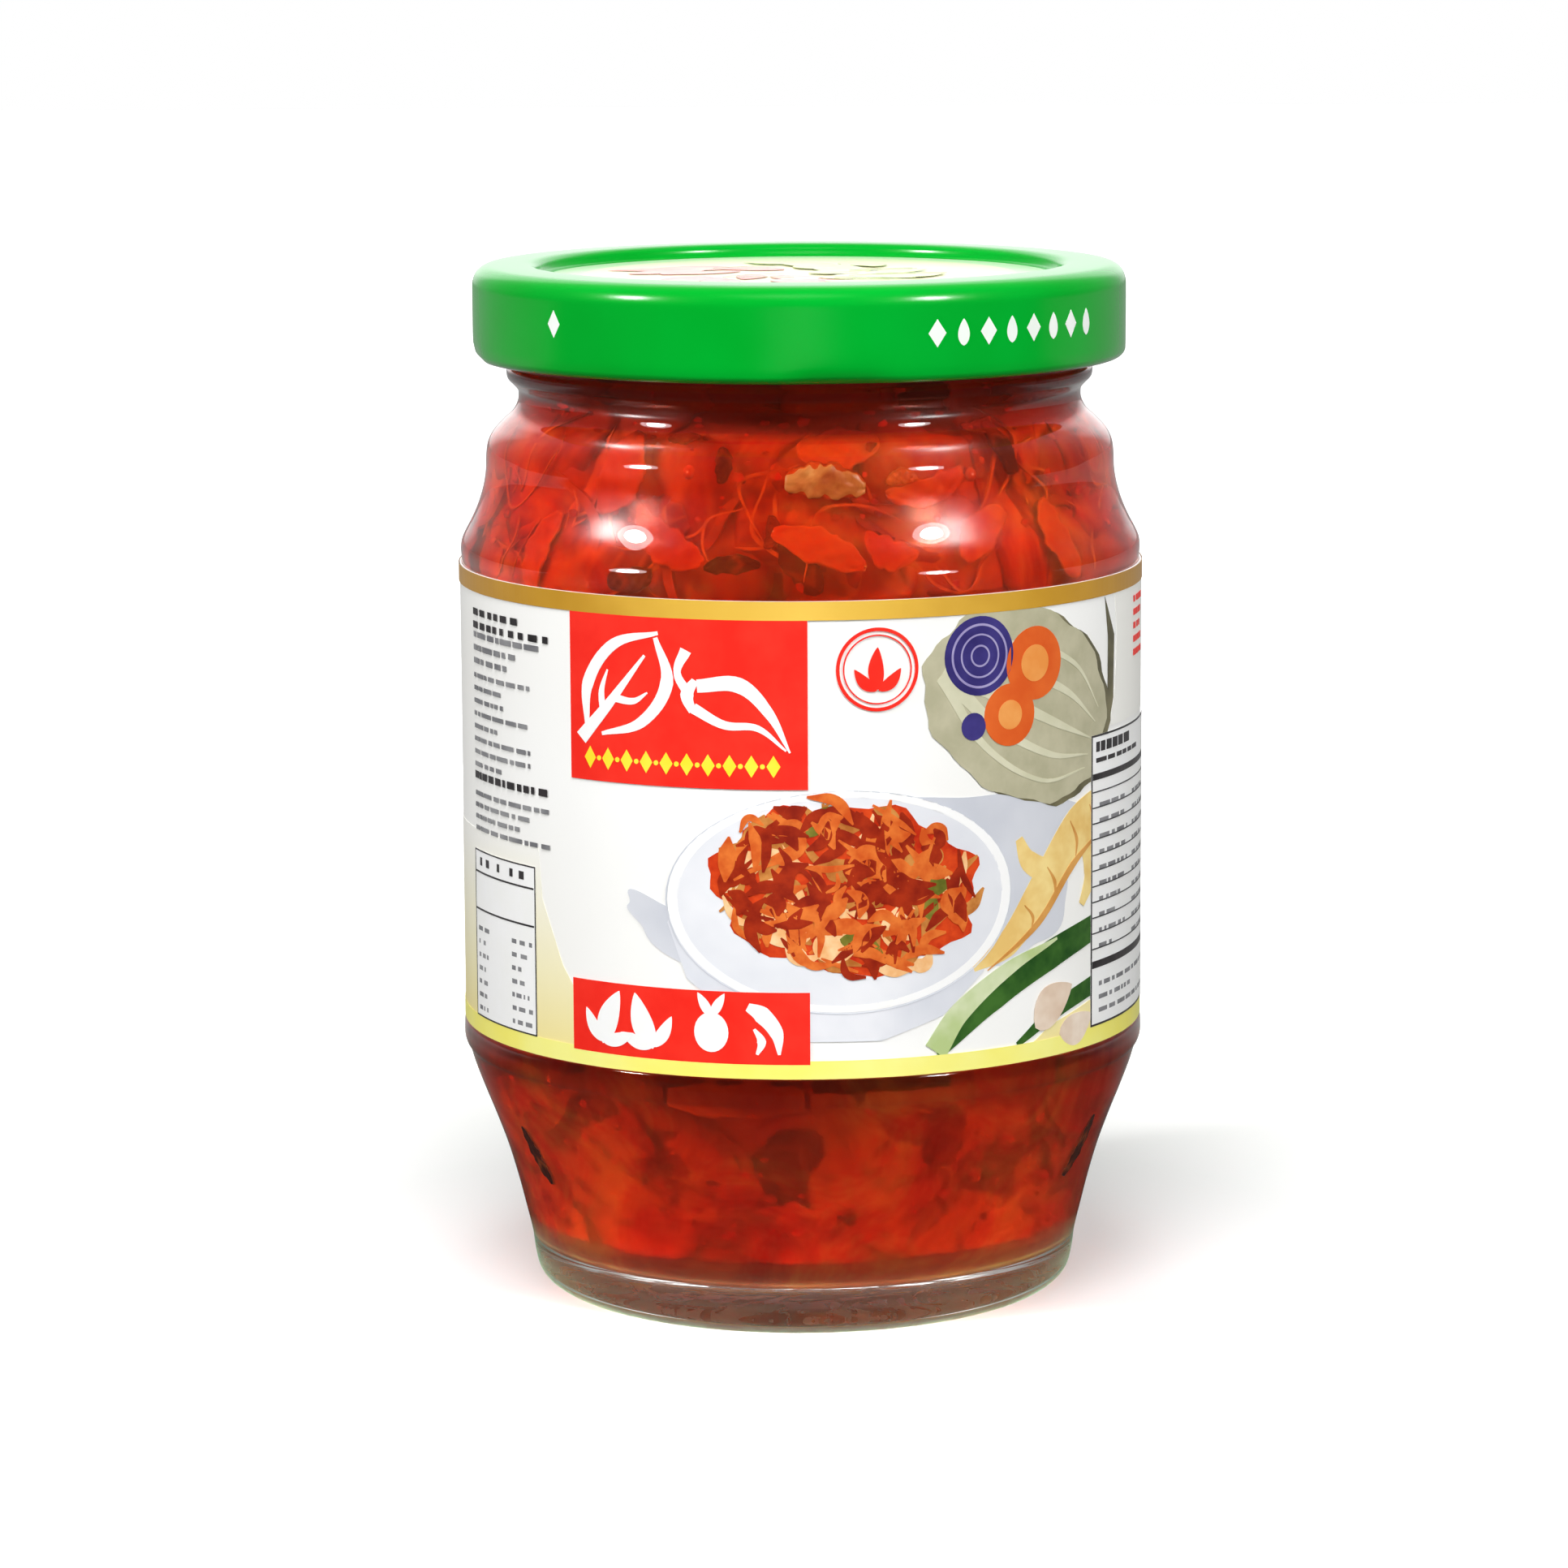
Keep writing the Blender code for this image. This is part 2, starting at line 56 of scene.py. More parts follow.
# Camera: a pinhole fitted to the photograph's rings
CAMERA_DISTANCE = 0.6273
CAMERA_PITCH = 0.1669
CAMERA_ROLL = -0.0049
CAMERA_AIM_HEIGHT = 0.056
CAMERA_LENS = 127.04
CAMERA_SENSOR = 36.0
CAMERA_SHIFT = (-0.01116, 0.00355)

# Heights and radii that several pieces share
BACK = math.radians(90.0)
FRONT = math.radians(-90.0)
FLOOR_HEIGHT = 0.0072
FILL_HEIGHT = 0.1060
LABEL_BOTTOM = 0.0309
LABEL_TOP = 0.0826
LABEL_RADIUS = 0.03828          # printed face of the paper
LABEL_SEAM_GAP = math.radians(18.0)
PANEL_RADIUS = 0.03805          # glass under the paper
CAP_RADIUS = 0.03645
CAP_TOP = 0.1158
CAP_BOTTOM = 0.1053
CAP_PANEL_HEIGHT = 0.1143
FIRST_LUG_ANGLE = math.radians(-83.0)


# Colours, from 0 to 255 as seen on a screen

def linear(red, green, blue):
    out = []
    for value in (red, green, blue):
        share = value / 255.0
        out.append(share / 12.92 if share <= 0.04045 else ((share + 0.055) / 1.055) ** 2.4)
    return (*out, 1.0)


def stops(*rows):
    """Stops of a colour ramp, from rows of place, red, green and blue."""
    return [(place, linear(*color)) for place, *color in rows]


def grey(level):
    return (level, level, level, 1.0)


WHITE = grey(1.0)


# Materials

class Nodes:
    """Short names for the nodes that the materials and the world are made of.

    A colour ramp runs from 0 to 1, so lengths in metres are mostly multiplied before they reach one.
    """

    def __init__(self, name, world=False):
        self.owner = (bpy.data.worlds if world else bpy.data.materials).new(name)
        self.owner.use_nodes = True
        self.tree = self.owner.node_tree
        self.space = "Generated" if world else "Object"
        self.shader = self.tree.nodes["Background" if world else "Principled BSDF"]
        self.output = self.tree.nodes["World Output" if world else "Material Output"]

    def link(self, source, target):
        self.tree.links.new(source, target)

    def feed(self, sockets, *values):
        """Gives each socket a fixed value or a link."""
        for socket, value in zip(sockets, values):
            if isinstance(value, bpy.types.NodeSocket):
                self.link(value, socket)
            else:
                socket.default_value = value

    def add(self, kind, *values, **settings):
        """A new node with its first sockets fed."""
        node = self.tree.nodes.new(kind)
        for key, value in settings.items():
            setattr(node, key, value)
        self.feed(node.inputs, *values)
        return node

    def set(self, **values):
        for key, value in values.items():
            self.shader.inputs[key.replace("_", " ")].default_value = value

    def place(self):
        return self.add("ShaderNodeTexCoord").outputs[self.space]

    def axis(self, name, scale=None):
        """One coordinate of the shaded point, multiplied by the scale if there is one."""
        value = self.add("ShaderNodeSeparateXYZ", self.place()).outputs[name]
        return self.math("MULTIPLY", value, scale) if scale else value

    def reach(self):
        """The shaded point's distance from the middle of the jar's underside."""
        return self.add("ShaderNodeVectorMath", self.place(), operation="LENGTH").outputs["Value"]

    def ray(self, name):
        return self.add("ShaderNodeLightPath").outputs[name]

    def noise(self, scale, detail=3.0, roughness=0.55, distortion=0.0):
        node = self.add("ShaderNodeTexNoise", self.place())
        keys = ("Scale", "Detail", "Roughness", "Distortion")
        self.feed([node.inputs[key] for key in keys], scale, detail, roughness, distortion)
        return node.outputs["Fac"]

    def value_of(self, name):
        return self.add("ShaderNodeAttribute", attribute_name=name).outputs["Fac"]

    def math(self, operation, *values):
        return self.add("ShaderNodeMath", *values, operation=operation).outputs[0]

    def times(self, color, gain):
        return self.add("ShaderNodeVectorMath", color, gain, operation="MULTIPLY").outputs[0]

    def ramp(self, factor, shades):
        node = self.add("ShaderNodeValToRGB", factor)
        marks = node.color_ramp.elements
        while len(marks) < len(shades):
            marks.new(0.5)
        for mark, (place, color) in zip(marks, shades):
            mark.position = place
            mark.color = color
        return node.outputs["Color"]

    def fade(self, factor, start, end, first, last):
        """A grey that goes from the first level to the last between two values of the factor."""
        return self.ramp(factor, ((start, grey(first)), (end, grey(last))))

    def mix(self, factor, first, second):
        node = self.add("ShaderNodeMix", data_type="RGBA")
        self.feed([node.inputs[i] for i in (0, 6, 7)], factor, first, second)
        return node.outputs[2]

    def bump(self, height, strength, distance):
        node = self.add("ShaderNodeBump")
        self.feed([node.inputs[key] for key in ("Height", "Strength", "Distance")], height, strength, distance)
        self.link(node.outputs["Normal"], self.shader.inputs["Normal"])

    def color(self, source):
        self.link(source, self.shader.inputs["Base Color"])

    def surface(self, share, first, second):
        """Makes the surface a mix of two shaders."""
        mixed = self.add("ShaderNodeMixShader", share, first, second)
        self.link(mixed.outputs[0], self.output.inputs["Surface"])

    def painted_neck_shade(self, source, dark):
        """Painted shade: the food in the neck is darkened, as the cap shades it there."""
        share = self.fade(self.axis("Z", 5.0), 0.4885, 0.4955, 0.0, 1.0)
        return self.mix(share, source, dark)

    def brighter_foot(self, source, gain):
        """Below the label more of the room's light comes through, so the colours are raised there."""
        share = self.fade(self.axis("Z", 5.0), 0.15, 0.30, 1.0, 0.0)
        return self.mix(share, source, self.times(source, gain))

    def let_lamps_through(self, tint):
        """Shadow rays pass, so that what is inside is lit."""
        clear = self.add("ShaderNodeBsdfTransparent", tint).outputs[0]
        self.surface(self.ray("Is Shadow Ray"), self.shader.outputs[0], clear)


def cloudy(name, noise, shades, roughness, specular, foot=None, neck=None, grain=None):
    """A material whose colour follows one noise. foot is a gain of painted light below the label,
    neck the colour of painted shade in the neck, grain the values of a bump.
    """
    made = Nodes(name)
    color = made.ramp(made.noise(*noise), shades)
    if foot:
        color = made.brighter_foot(color, foot)
    if neck:
        color = made.painted_neck_shade(color, neck)
    made.color(color)
    made.set(Roughness=roughness, Specular_IOR_Level=specular)
    if grain:
        fine, strength, distance = grain
        made.bump(made.noise(*fine), strength, distance)
    return made.owner


def glass_material():
    """Clear glass, rough in patches on its underside as on a ground base."""
    made = Nodes("clear_glass")
    made.set(Base_Color=(0.985, 0.995, 0.985, 1.0), Transmission_Weight=1.0, IOR=1.5)
    low = made.fade(made.axis("Z", 100.0), 0.36, 0.44, 1.0, 0.0)
    under = made.fade(made.math("MULTIPLY", made.reach(), 20.0), 0.56, 0.58, 1.0, 0.0)
    ground = made.fade(made.noise(170.0, 4.0, 0.6, 2.5), 0.45, 0.52, 0.0, 0.40)
    rough = made.math("MULTIPLY", made.math("MULTIPLY", low, under), ground)
    made.link(rough, made.shader.inputs["Roughness"])
    made.bump(made.noise(28.0, 1.0), 0.02, 0.002)
    made.let_lamps_through((0.97, 0.98, 0.97, 1.0))
    return made.owner


def brine_material():
    """Red liquid, cloudier towards the jar's foot."""
    made = Nodes("red_brine")
    made.set(Transmission_Weight=0.86, IOR=1.34, Specular_IOR_Level=0.2)
    blur = made.fade(made.axis("Z", 10.0), 0.30, 0.80, 0.34, 0.19)
    made.link(blur, made.shader.inputs["Roughness"])
    liquid = made.ramp(made.noise(70.0, 4.0, 0.6, 0.8), (
        (0.32, (0.46, 0.024, 0.005, 1.0)),
        (0.50, (0.66, 0.066, 0.012, 1.0)),
        (0.66, (0.78, 0.180, 0.026, 1.0)),
    ))
    # The liquid's colour is raised below the label as painted light and darkened in the neck as painted shade.
    made.color(made.painted_neck_shade(made.brighter_foot(liquid, (1.26, 1.2, 1.2)), (0.60, 0.060, 0.020, 1.0)))
    made.let_lamps_through((0.92, 0.55, 0.40, 1.0))
    return made.owner


def leaf_material(name="cabbage_leaf", spread=1.0):
    """Leaf whose colour follows each leaf's tone and veins, and noise of the given spread."""
    made = Nodes(name)
    fine = made.math("SUBTRACT", made.noise(120.0, 5.0, 0.62, 0.6), 0.5)
    broad = made.math("SUBTRACT", made.noise(38.0, 2.0), 0.47)
    cloud = made.math("MULTIPLY", made.math("ADD", fine, broad), spread)
    body = made.ramp(made.math("ADD", made.value_of("tone"), cloud), stops(
        (0.0, 34, 10, 8), (0.16, 80, 14, 7), (0.34, 142, 22, 4), (0.56, 182, 40, 5), (0.78, 190, 84, 16),
        (1.0, 184, 116, 42),
    ))
    veined = made.mix(made.math("MULTIPLY", made.value_of("vein"), 0.75), body, linear(206, 102, 42))
    # The leaf colour is raised below the label as painted light and darkened in the neck as painted shade.
    made.color(made.painted_neck_shade(made.brighter_foot(veined, (1.36, 1.3, 1.25)), linear(130, 34, 17)))
    made.set(Roughness=0.4, Specular_IOR_Level=0.12)
    made.bump(made.noise(900.0, 3.0), 0.25, 0.0003)
    return made.owner


def rib_material():
    shades = stops((0.28, 134, 48, 16), (0.44, 158, 76, 28), (0.62, 178, 102, 46), (0.80, 198, 134, 72))
    grain = ((300.0, 4.0, 0.6, 1.0), 0.15, 0.0003)
    return cloudy("cabbage_rib", (240.0, 4.0, 0.6, 1.2), shades, 0.3, 0.35, grain=grain)


def shred_material():
    shades = stops((0.30, 150, 40, 8), (0.55, 178, 66, 15), (0.80, 188, 96, 32))
    # neck is the colour of the painted shade in the neck.
    return cloudy("carrot_shred", (260.0, 3.0), shades, 0.4, 0.15, neck=linear(96, 20, 9))


def rim_material():
    shades = stops((0.30, 166, 62, 20), (0.52, 200, 108, 46), (0.75, 222, 150, 84))
    # neck is the colour of the painted shade in the neck.
    return cloudy("leaf_rim", (200.0, 3.0), shades, 0.4, 0.15, neck=linear(96, 20, 9))


def flake_material():
    shades = stops((0.30, 84, 8, 4), (0.55, 170, 16, 4), (0.75, 214, 34, 6))
    return cloudy("chilli_flake", (300.0, 2.0), shades, 0.4, 0.15)


def bubble_material():
    return cloudy("air_bubble", (500.0, 2.0), stops((0.3, 176, 50, 24), (0.7, 226, 110, 70)), 0.03, 0.8)


def core_material():
    shades = stops((0.30, 84, 12, 4), (0.50, 142, 22, 4), (0.72, 176, 58, 10))
    # foot raises the colours below the label as painted light; neck is the colour of the painted shade in the
    # neck.
    return cloudy(
        "kimchi_core", (110.0, 4.0, 0.6, 0.6), shades, 0.5, 0.1,
        foot=(1.5, 1.4, 1.3), neck=linear(80, 19, 10), grain=((500.0, 3.0), 0.4, 0.0006),
    )


def lacquer_material():
    shades = ((0.3, (0.0, 0.355, 0.020, 1.0)), (0.7, (0.0, 0.40, 0.027, 1.0)))
    return cloudy("green_lacquer", (60.0, 2.0), shades, 0.2, 0.34, grain=((700.0, 2.0), 0.04, 0.0002))


def paper_material():
    shades = stops((0.3, 250, 249, 245), (0.7, 255, 255, 253))
    return cloudy("label_paper", (30.0, 2.0), shades, 0.45, 0.3, grain=((2500.0, 2.0), 0.05, 0.0001))


def ink_material(name, dark, light, scale, roughness=0.45):
    specular = 0.3 if roughness > 0.3 else 0.5
    return cloudy(name, (scale, 3.0), stops((0.35, *dark), (0.65, *light)), roughness, specular)


def gold_ink():
    """Gold with faint streaks, lighter in the middle and darker towards the jar's sides:
    a painted sheen and painted shade of the foil.
    """
    made = Nodes("ink_gold")
    # Painted shade: the gold gets darker with distance from the middle, to left and right.
    across = made.math("MULTIPLY", made.math("ABSOLUTE", made.axis("X")), 20.0)
    streaks = made.math("MULTIPLY", made.noise(70.0, 3.0, 0.6), 0.55)
    made.color(made.ramp(made.math("ADD", across, streaks), stops(
        (0.22, 246, 202, 84), (0.50, 236, 188, 72), (0.76, 208, 156, 48), (0.98, 192, 140, 36),
    )))
    made.set(Roughness=0.38, Metallic=0.1)
    return made.owner


def cream_ink():
    """Yellow-cream at the bottom of the label, fading to the paper's white further up."""
    made = Nodes("ink_cream")
    wash = made.math("MULTIPLY", made.noise(30.0, 2.0), 0.08)
    share = made.math("ADD", made.axis("Z", 18.0), wash)
    made.color(made.ramp(share, stops((0.60, 250, 232, 150), (0.76, 252, 244, 200), (1.0, 255, 254, 248))))
    made.set(Roughness=0.45)
    return made.owner


def floor_material():
    """White paper to the camera, with a faint shadow. Its glow grows away from the jar, so round the base
    the floor is a little darker: painted shade on top of the lamps' real shadow.

    Other rays see it dim in front and brighter behind, as the floor of a dark room. Under the jar's base
    they see painted light, a light patch and streaky glowing rings, in place of the light that thick glass
    carries in.
    """
    made = Nodes("white_floor")
    made.color(made.fade(made.noise(3.0, 2.0), 0.0, 1.0, 0.96, 0.98))
    reach = made.reach()
    # Painted shade: the glow is nil at the jar and grows outwards, so the floor round the base is darker.
    made.link(made.ramp(reach, (
        (0.029, grey(0.0)), (0.064, (0.0, 0.01, 0.0, 1.0)), (0.15, (0.42, 0.43, 0.39, 1.0)), (0.35, WHITE),
    )), made.shader.inputs["Emission Color"])
    made.set(Roughness=0.9, Emission_Strength=1.0)
    # Painted light: to other rays the floor under the base is light, and dark beyond it.
    shade = made.ramp(reach, ((0.033, (0.48, 0.80, 0.56, 1.0)), (0.041, (0.05, 0.05, 0.04, 1.0))))
    # Painted glow: streaky rings of light under the base.
    rings = made.ramp(reach, (
        (0.0100, (0.04, 0.07, 0.05, 1.0)), (0.0165, (0.40, 0.74, 0.50, 1.0)), (0.0205, (0.50, 0.96, 0.64, 1.0)),
        (0.0230, (0.16, 0.32, 0.22, 1.0)), (0.0265, (0.42, 0.80, 0.54, 1.0)), (0.0300, (0.05, 0.09, 0.06, 1.0)),
        (0.0400, grey(0.0)),
    ))
    streaks = made.fade(made.noise(160.0, 4.0, 0.6, 2.5), 0.42, 0.54, 0.06, 1.0)
    diffuse = made.add("ShaderNodeBsdfDiffuse", shade).outputs[0]
    painted_ring_glow = made.add("ShaderNodeEmission", made.times(rings, streaks)).outputs[0]
    dim = made.add("ShaderNodeAddShader", diffuse, painted_ring_glow).outputs[0]
    behind = made.fade(made.axis("Y"), 0.03, 0.14, 0.0, 0.28)
    made.surface(made.math("MAXIMUM", made.ray("Is Camera Ray"), behind), dim, made.shader.outputs[0])
    return made.owner


# Shapes

def add_object(name, data):
    made = bpy.data.objects.new(name, data)
    bpy.context.scene.collection.objects.link(made)
    return made


def add_mesh(name, points, faces, material, smooth=True, values=None):
    mesh = bpy.data.meshes.new(name)
    mesh.from_pydata([tuple(p) for p in points], [], [tuple(f) for f in faces])
    mesh.validate()
    mesh.polygons.foreach_set("use_smooth", [smooth] * len(mesh.polygons))
    for key, column in (values or {}).items():
        layer = mesh.attributes.new(key, "FLOAT", "POINT")
        layer.data.foreach_set("value", np.asarray(column, dtype=np.float32))
    mesh.materials.append(material)
    return add_object(name, mesh)


def polar(radius, angle, height):
    return (radius * math.cos(angle), radius * math.sin(angle), height)


def tube_faces(steps):
    """Faces of a shut tube whose rings have four points each."""
    faces = []
    for i in range(steps):
        for k in range(4):
            a, b = 4 * i + k, 4 * i + (k + 1) % 4
            faces.append((a, b, b + 4, a + 4))
    last = 4 * steps
    return faces + [(3, 2, 1, 0), (last, last + 1, last + 2, last + 3)]


def arc(centre_radius, centre_height, radius, start, end, count=8):
    """Profile points on an arc. Angles are in degrees, 0 outwards and 90 up."""
    angles = np.radians(np.linspace(start, end, count + 1))
    return [(centre_radius + radius * math.cos(a), centre_height + radius * math.sin(a)) for a in angles]


def flow(knots, count=6):
    """A smooth line through (radius, height) knots, by a cubic spline of each span."""
    knots = [np.array(k, dtype=float) for k in knots]
    line = [tuple(knots[0])]
    for i in range(len(knots) - 1):
        before = knots[max(i - 1, 0)]
        here, there = knots[i], knots[i + 1]
        after = knots[min(i + 2, len(knots) - 1)]
        length = np.linalg.norm(there - here)
        pull_in = (there - before) / max(np.linalg.norm(there - before), 1e-9) * length
        pull_out = (after - here) / max(np.linalg.norm(after - here), 1e-9) * length
        for step in range(1, count + 1):
            t = step / count
            t2, t3 = t * t, t * t * t
            point = (
                (2 * t3 - 3 * t2 + 1) * here + (t3 - 2 * t2 + t) * pull_in
                + (3 * t2 - 2 * t3) * there + (t3 - t2) * pull_out
            )
            line.append(tuple(point))
    return line


ON_AXIS = 1e-7


def lathe(name, profile, material, steps=192, closed=False, shift=None):
    """Turns a (radius, height) profile round Z. Points on the axis become one vertex."""
    angles = np.linspace(0.0, TURN, steps, endpoint=False)
    points, rings = [], []
    for radius, height in profile:
        if radius < ON_AXIS:
            rings.append([len(points)] * steps)
            points.append((0.0, 0.0, height))
            continue
        rings.append(list(range(len(points), len(points) + steps)))
        radii = np.full(steps, radius)
        if shift is not None:
            radii = radii + shift(angles, radius, height)
        points.extend(zip(radii * np.cos(angles), radii * np.sin(angles), [height] * steps))
    faces = []
    pairs = list(zip(rings, rings[1:])) + ([(rings[-1], rings[0])] if closed else [])
    for upper, lower in pairs:
        for i in range(steps):
            j = (i + 1) % steps
            corners = [upper[i], lower[i], lower[j], upper[j]]
            unique = list(dict.fromkeys(corners))
            if len(unique) > 2:
                faces.append(unique)
    return add_mesh(name, points, faces, material)


# Glass

# Outer face from the mouth down to the ridge under the label, in millimetres
UPPER_KNOTS = (
    (32.4, 105.2), (32.45, 104.6), (32.72, 104.1), (32.76, 103.6), (32.62, 103.1), (32.05, 102.5),
    (31.55, 101.9), (31.45, 101.3), (31.55, 100.5), (32.1, 99.4), (33.3, 98.25), (34.35, 97.1),
    (34.95, 95.9), (35.16, 94.5), (35.22, 92.9), (35.5, 91.1), (36.1, 89.1), (36.9, 87.25),
    (37.62, 85.9), (37.98, 85.1), (38.12, 84.4), (38.12, 83.7), (38.05, 83.0),
)
LOWER_KNOTS = (
    (38.05, 30.86), (38.3, 30.76), (38.43, 30.4), (38.47, 29.7), (38.47, 28.8), (38.3, 28.1), (37.95, 27.5),
    (37.35, 25.6), (36.35, 22.9), (35.2, 20.0), (33.85, 16.3), (32.7, 12.4), (31.75, 8.6), (31.05, 5.6),
    (30.75, 3.4), (30.2, 1.5), (28.9, 0.35), (27.6, 0.0),
)
INNER_KNOTS = (
    (28.8, 7.9), (29.05, 10.5), (30.1, 15.0), (31.6, 19.5), (33.4, 24.0), (35.0, 28.5), (35.55, 31.5),
    (35.6, 34.0),
)
INNER_UPPER_KNOTS = (
    (35.6, 81.0), (35.55, 83.5), (34.9, 86.8), (33.6, 90.2), (32.9, 92.8), (32.65, 95.0), (31.9, 97.4),
    (30.4, 99.3), (29.4, 100.8), (29.2, 102.2), (29.35, 103.6), (29.9, 105.2), (30.3, 106.6), (30.3, 113.8),
)


def scaled(knots):
    return [(radius * MM, height * MM) for radius, height in knots]


def outer_profile():
    lip = arc(0.0314, 0.1140, 0.0010, 90, 0)
    under = flow([
        (0.0255, 0.0), (0.0242, 0.0006), (0.0225, 0.0016), (0.0190, 0.0023), (0.0120, 0.0026), (0.0, 0.0027),
    ])
    return lip + flow(scaled(UPPER_KNOTS)) + flow(scaled(LOWER_KNOTS), 8) + under


def inner_profile():
    floor = flow([(0.0, FLOOR_HEIGHT), (0.012, 0.0070), (0.0205, 0.0062), (0.0255, 0.0057)])
    corner = arc(0.0265, 0.0079, 0.0023, -84, 0, 10)
    return floor + corner + flow(scaled(INNER_KNOTS))[1:] + flow(scaled(INNER_UPPER_KNOTS))


FLAT_FLOOR_RADIUS = 0.0245
INNER_WALL = np.array([p for p in inner_profile() if p[0] > FLAT_FLOOR_RADIUS])


def inside_radius(height):
    return np.interp(height, INNER_WALL[:, 1], INNER_WALL[:, 0])


def make_glass():
    made = lathe("jar_glass", inner_profile() + outer_profile(), glass_material(), 224)
    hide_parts("jar")
    return made


# Cap

SHEET = 0.00035                 # the metal's thickness
CURL_RADIUS = 0.0011
LUG_COUNT = 4
LUG_DENT = 0.00045
LUG_HALF_WIDTH = math.radians(8.0)
SKIRT_MIN_RADIUS = 0.030
DENT_TOP = 0.1085
DENT_FALL = 0.0011


def cap_profile():
    outside = flow([
        (0.0, CAP_PANEL_HEIGHT), (0.020, CAP_PANEL_HEIGHT), (0.0280, CAP_PANEL_HEIGHT),
        (0.02895, 0.11440), (0.02925, 0.11480), (0.02945, 0.11530), (0.0300, 0.11568), (0.0310, 0.11578),
        (0.0340, CAP_TOP - 0.00008), (0.0351, 0.11555), (0.03595, 0.11495), (0.03638, 0.1140),
        (CAP_RADIUS, 0.1130), (CAP_RADIUS, 0.1072),
    ], 5)
    curl = arc(CAP_RADIUS - CURL_RADIUS, CAP_BOTTOM + CURL_RADIUS, CURL_RADIUS, 0, -200, 18)
    line = outside + curl[1:]
    inside = []
    for before, here, after in zip(line[:-2], line[1:-1], line[2:]):
        run = Vector((after[0] - before[0], after[1] - before[1])).normalized()
        inside.append((here[0] + run.y * SHEET, here[1] - run.x * SHEET))
    inside = [(0.0, CAP_PANEL_HEIGHT - SHEET)] + [p for p in inside if p[0] > 0.001]
    return line + inside[::-1]


def lug_dents(angles, radius, height):
    """The skirt is pressed in a little over each lug."""
    if radius < SKIRT_MIN_RADIUS or height > DENT_TOP:
        return 0.0
    low = math.exp(-((height - CAP_BOTTOM) / DENT_FALL) ** 2)
    out = np.zeros_like(angles)
    for i in range(LUG_COUNT):
        away = (angles - FIRST_LUG_ANGLE - TURN * i / LUG_COUNT + math.pi) % TURN - math.pi
        out -= LUG_DENT * low * np.exp(-(away / LUG_HALF_WIDTH) ** 4)
    return out


def make_cap():
    made = lathe("cap", cap_profile(), lacquer_material(), 256, shift=lug_dents)
    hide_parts("lid")
    return made


# Label

PAPER_STEPS = 240
PAPER_GAP = 0.00004             # between the paper and the glass
PRINT_THICKNESS = 0.000025
PRINT_BITE = 0.00001            # how far ink reaches into what it lies on
STAGGER = 0.000002              # height between shapes of one print that overlap
CAP_PRINT_PITCH = 0.00008       # height between the cap's layers of ink, each of up to 40 shapes
SLICE = 0.0012                  # widest flat facet of a print


def wrap_point(along, height, radius):
    """A point on the jar's side. along is the distance from the front's middle, to the right."""
    return polar(radius, FRONT + along / LABEL_RADIUS, height)


def make_paper():
    back_face = PANEL_RADIUS + PAPER_GAP
    section = [
        (LABEL_RADIUS, LABEL_TOP), (LABEL_RADIUS, LABEL_BOTTOM),
        (back_face, LABEL_BOTTOM), (back_face, LABEL_TOP),
    ]
    points = []
    for i in range(PAPER_STEPS + 1):
        angle = BACK + 0.5 * LABEL_SEAM_GAP + (TURN - LABEL_SEAM_GAP) * i / PAPER_STEPS
        points += [polar(radius, angle, height) for radius, height in section]
    made = add_mesh("label_paper", points, tube_faces(PAPER_STEPS), paper_material(), smooth=False)
    made.data.set_sharp_from_angle(angle=math.radians(30))
    made.data.polygons.foreach_set("use_smooth", [True] * len(made.data.polygons))
    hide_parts("label")
    return made


def thickened(work):
    """Cuts the outlines in triangles and doubles them. Gives the new vertices, which stand on the old ones."""
    bmesh.ops.triangulate(work, faces=work.faces)
    for face in work.faces:
        face.normal_update()
        if face.normal.y > 0:
            face.normal_flip()
    grown = bmesh.ops.extrude_face_region(work, geom=work.faces[:])
    return {item for item in grown["geom"] if isinstance(item, bmesh.types.BMVert)}


def add_print(name, work, material):
    bmesh.ops.recalc_face_normals(work, faces=work.faces)
    mesh = bpy.data.meshes.new(name)
    work.to_mesh(mesh)
    work.free()
    mesh.materials.append(material)
    return add_object(name, mesh)


def wrap_print(name, shapes, layer, material, radius=LABEL_RADIUS):
    """Flat shapes, as lists of (along, height) in millimetres, laid on the jar's side as thin ink.

    Each shape is cut in upright slices, so that it follows the curve, and made a closed thin solid.
    """
    work = bmesh.new()
    for i, outline in enumerate(shapes):
        verts = [work.verts.new((along * MM, (i % 12) * STAGGER, height * MM)) for along, height in outline]
        work.faces.new(verts)
    lows = min(v.co.x for v in work.verts)
    highs = max(v.co.x for v in work.verts)
    for i in range(math.ceil(lows / SLICE), math.floor(highs / SLICE) + 1):
        geometry = work.verts[:] + work.edges[:] + work.faces[:]
        bmesh.ops.bisect_plane(work, geom=geometry, plane_co=(i * SLICE, 0, 0), plane_no=(1, 0, 0), dist=1e-7)
    backs = thickened(work)
    inner = radius + layer * PRINT_THICKNESS - PRINT_BITE
    outer = radius + (layer + 1) * PRINT_THICKNESS
    for vert in work.verts:
        depth = inner if vert in backs else outer + vert.co.y
        vert.co = wrap_point(vert.co.x, vert.co.z, depth)
    made = add_print(name, work, material)
    return made


def flat_print(name, shapes, layer, material):
    """Flat shapes, as lists of (x, y) in millimetres, laid on the cap's sunken panel as thin ink."""
    work = bmesh.new()
    bottom = CAP_PANEL_HEIGHT + layer * CAP_PRINT_PITCH - PRINT_BITE
    for i, outline in enumerate(shapes):
        level = bottom + 0.5 * i * STAGGER
        work.faces.new([work.verts.new((x * MM, y * MM, level)) for x, y in outline])
    for vert in thickened(work):
        vert.co.z += PRINT_THICKNESS + PRINT_BITE
    made = add_print(name, work, material)
    return made


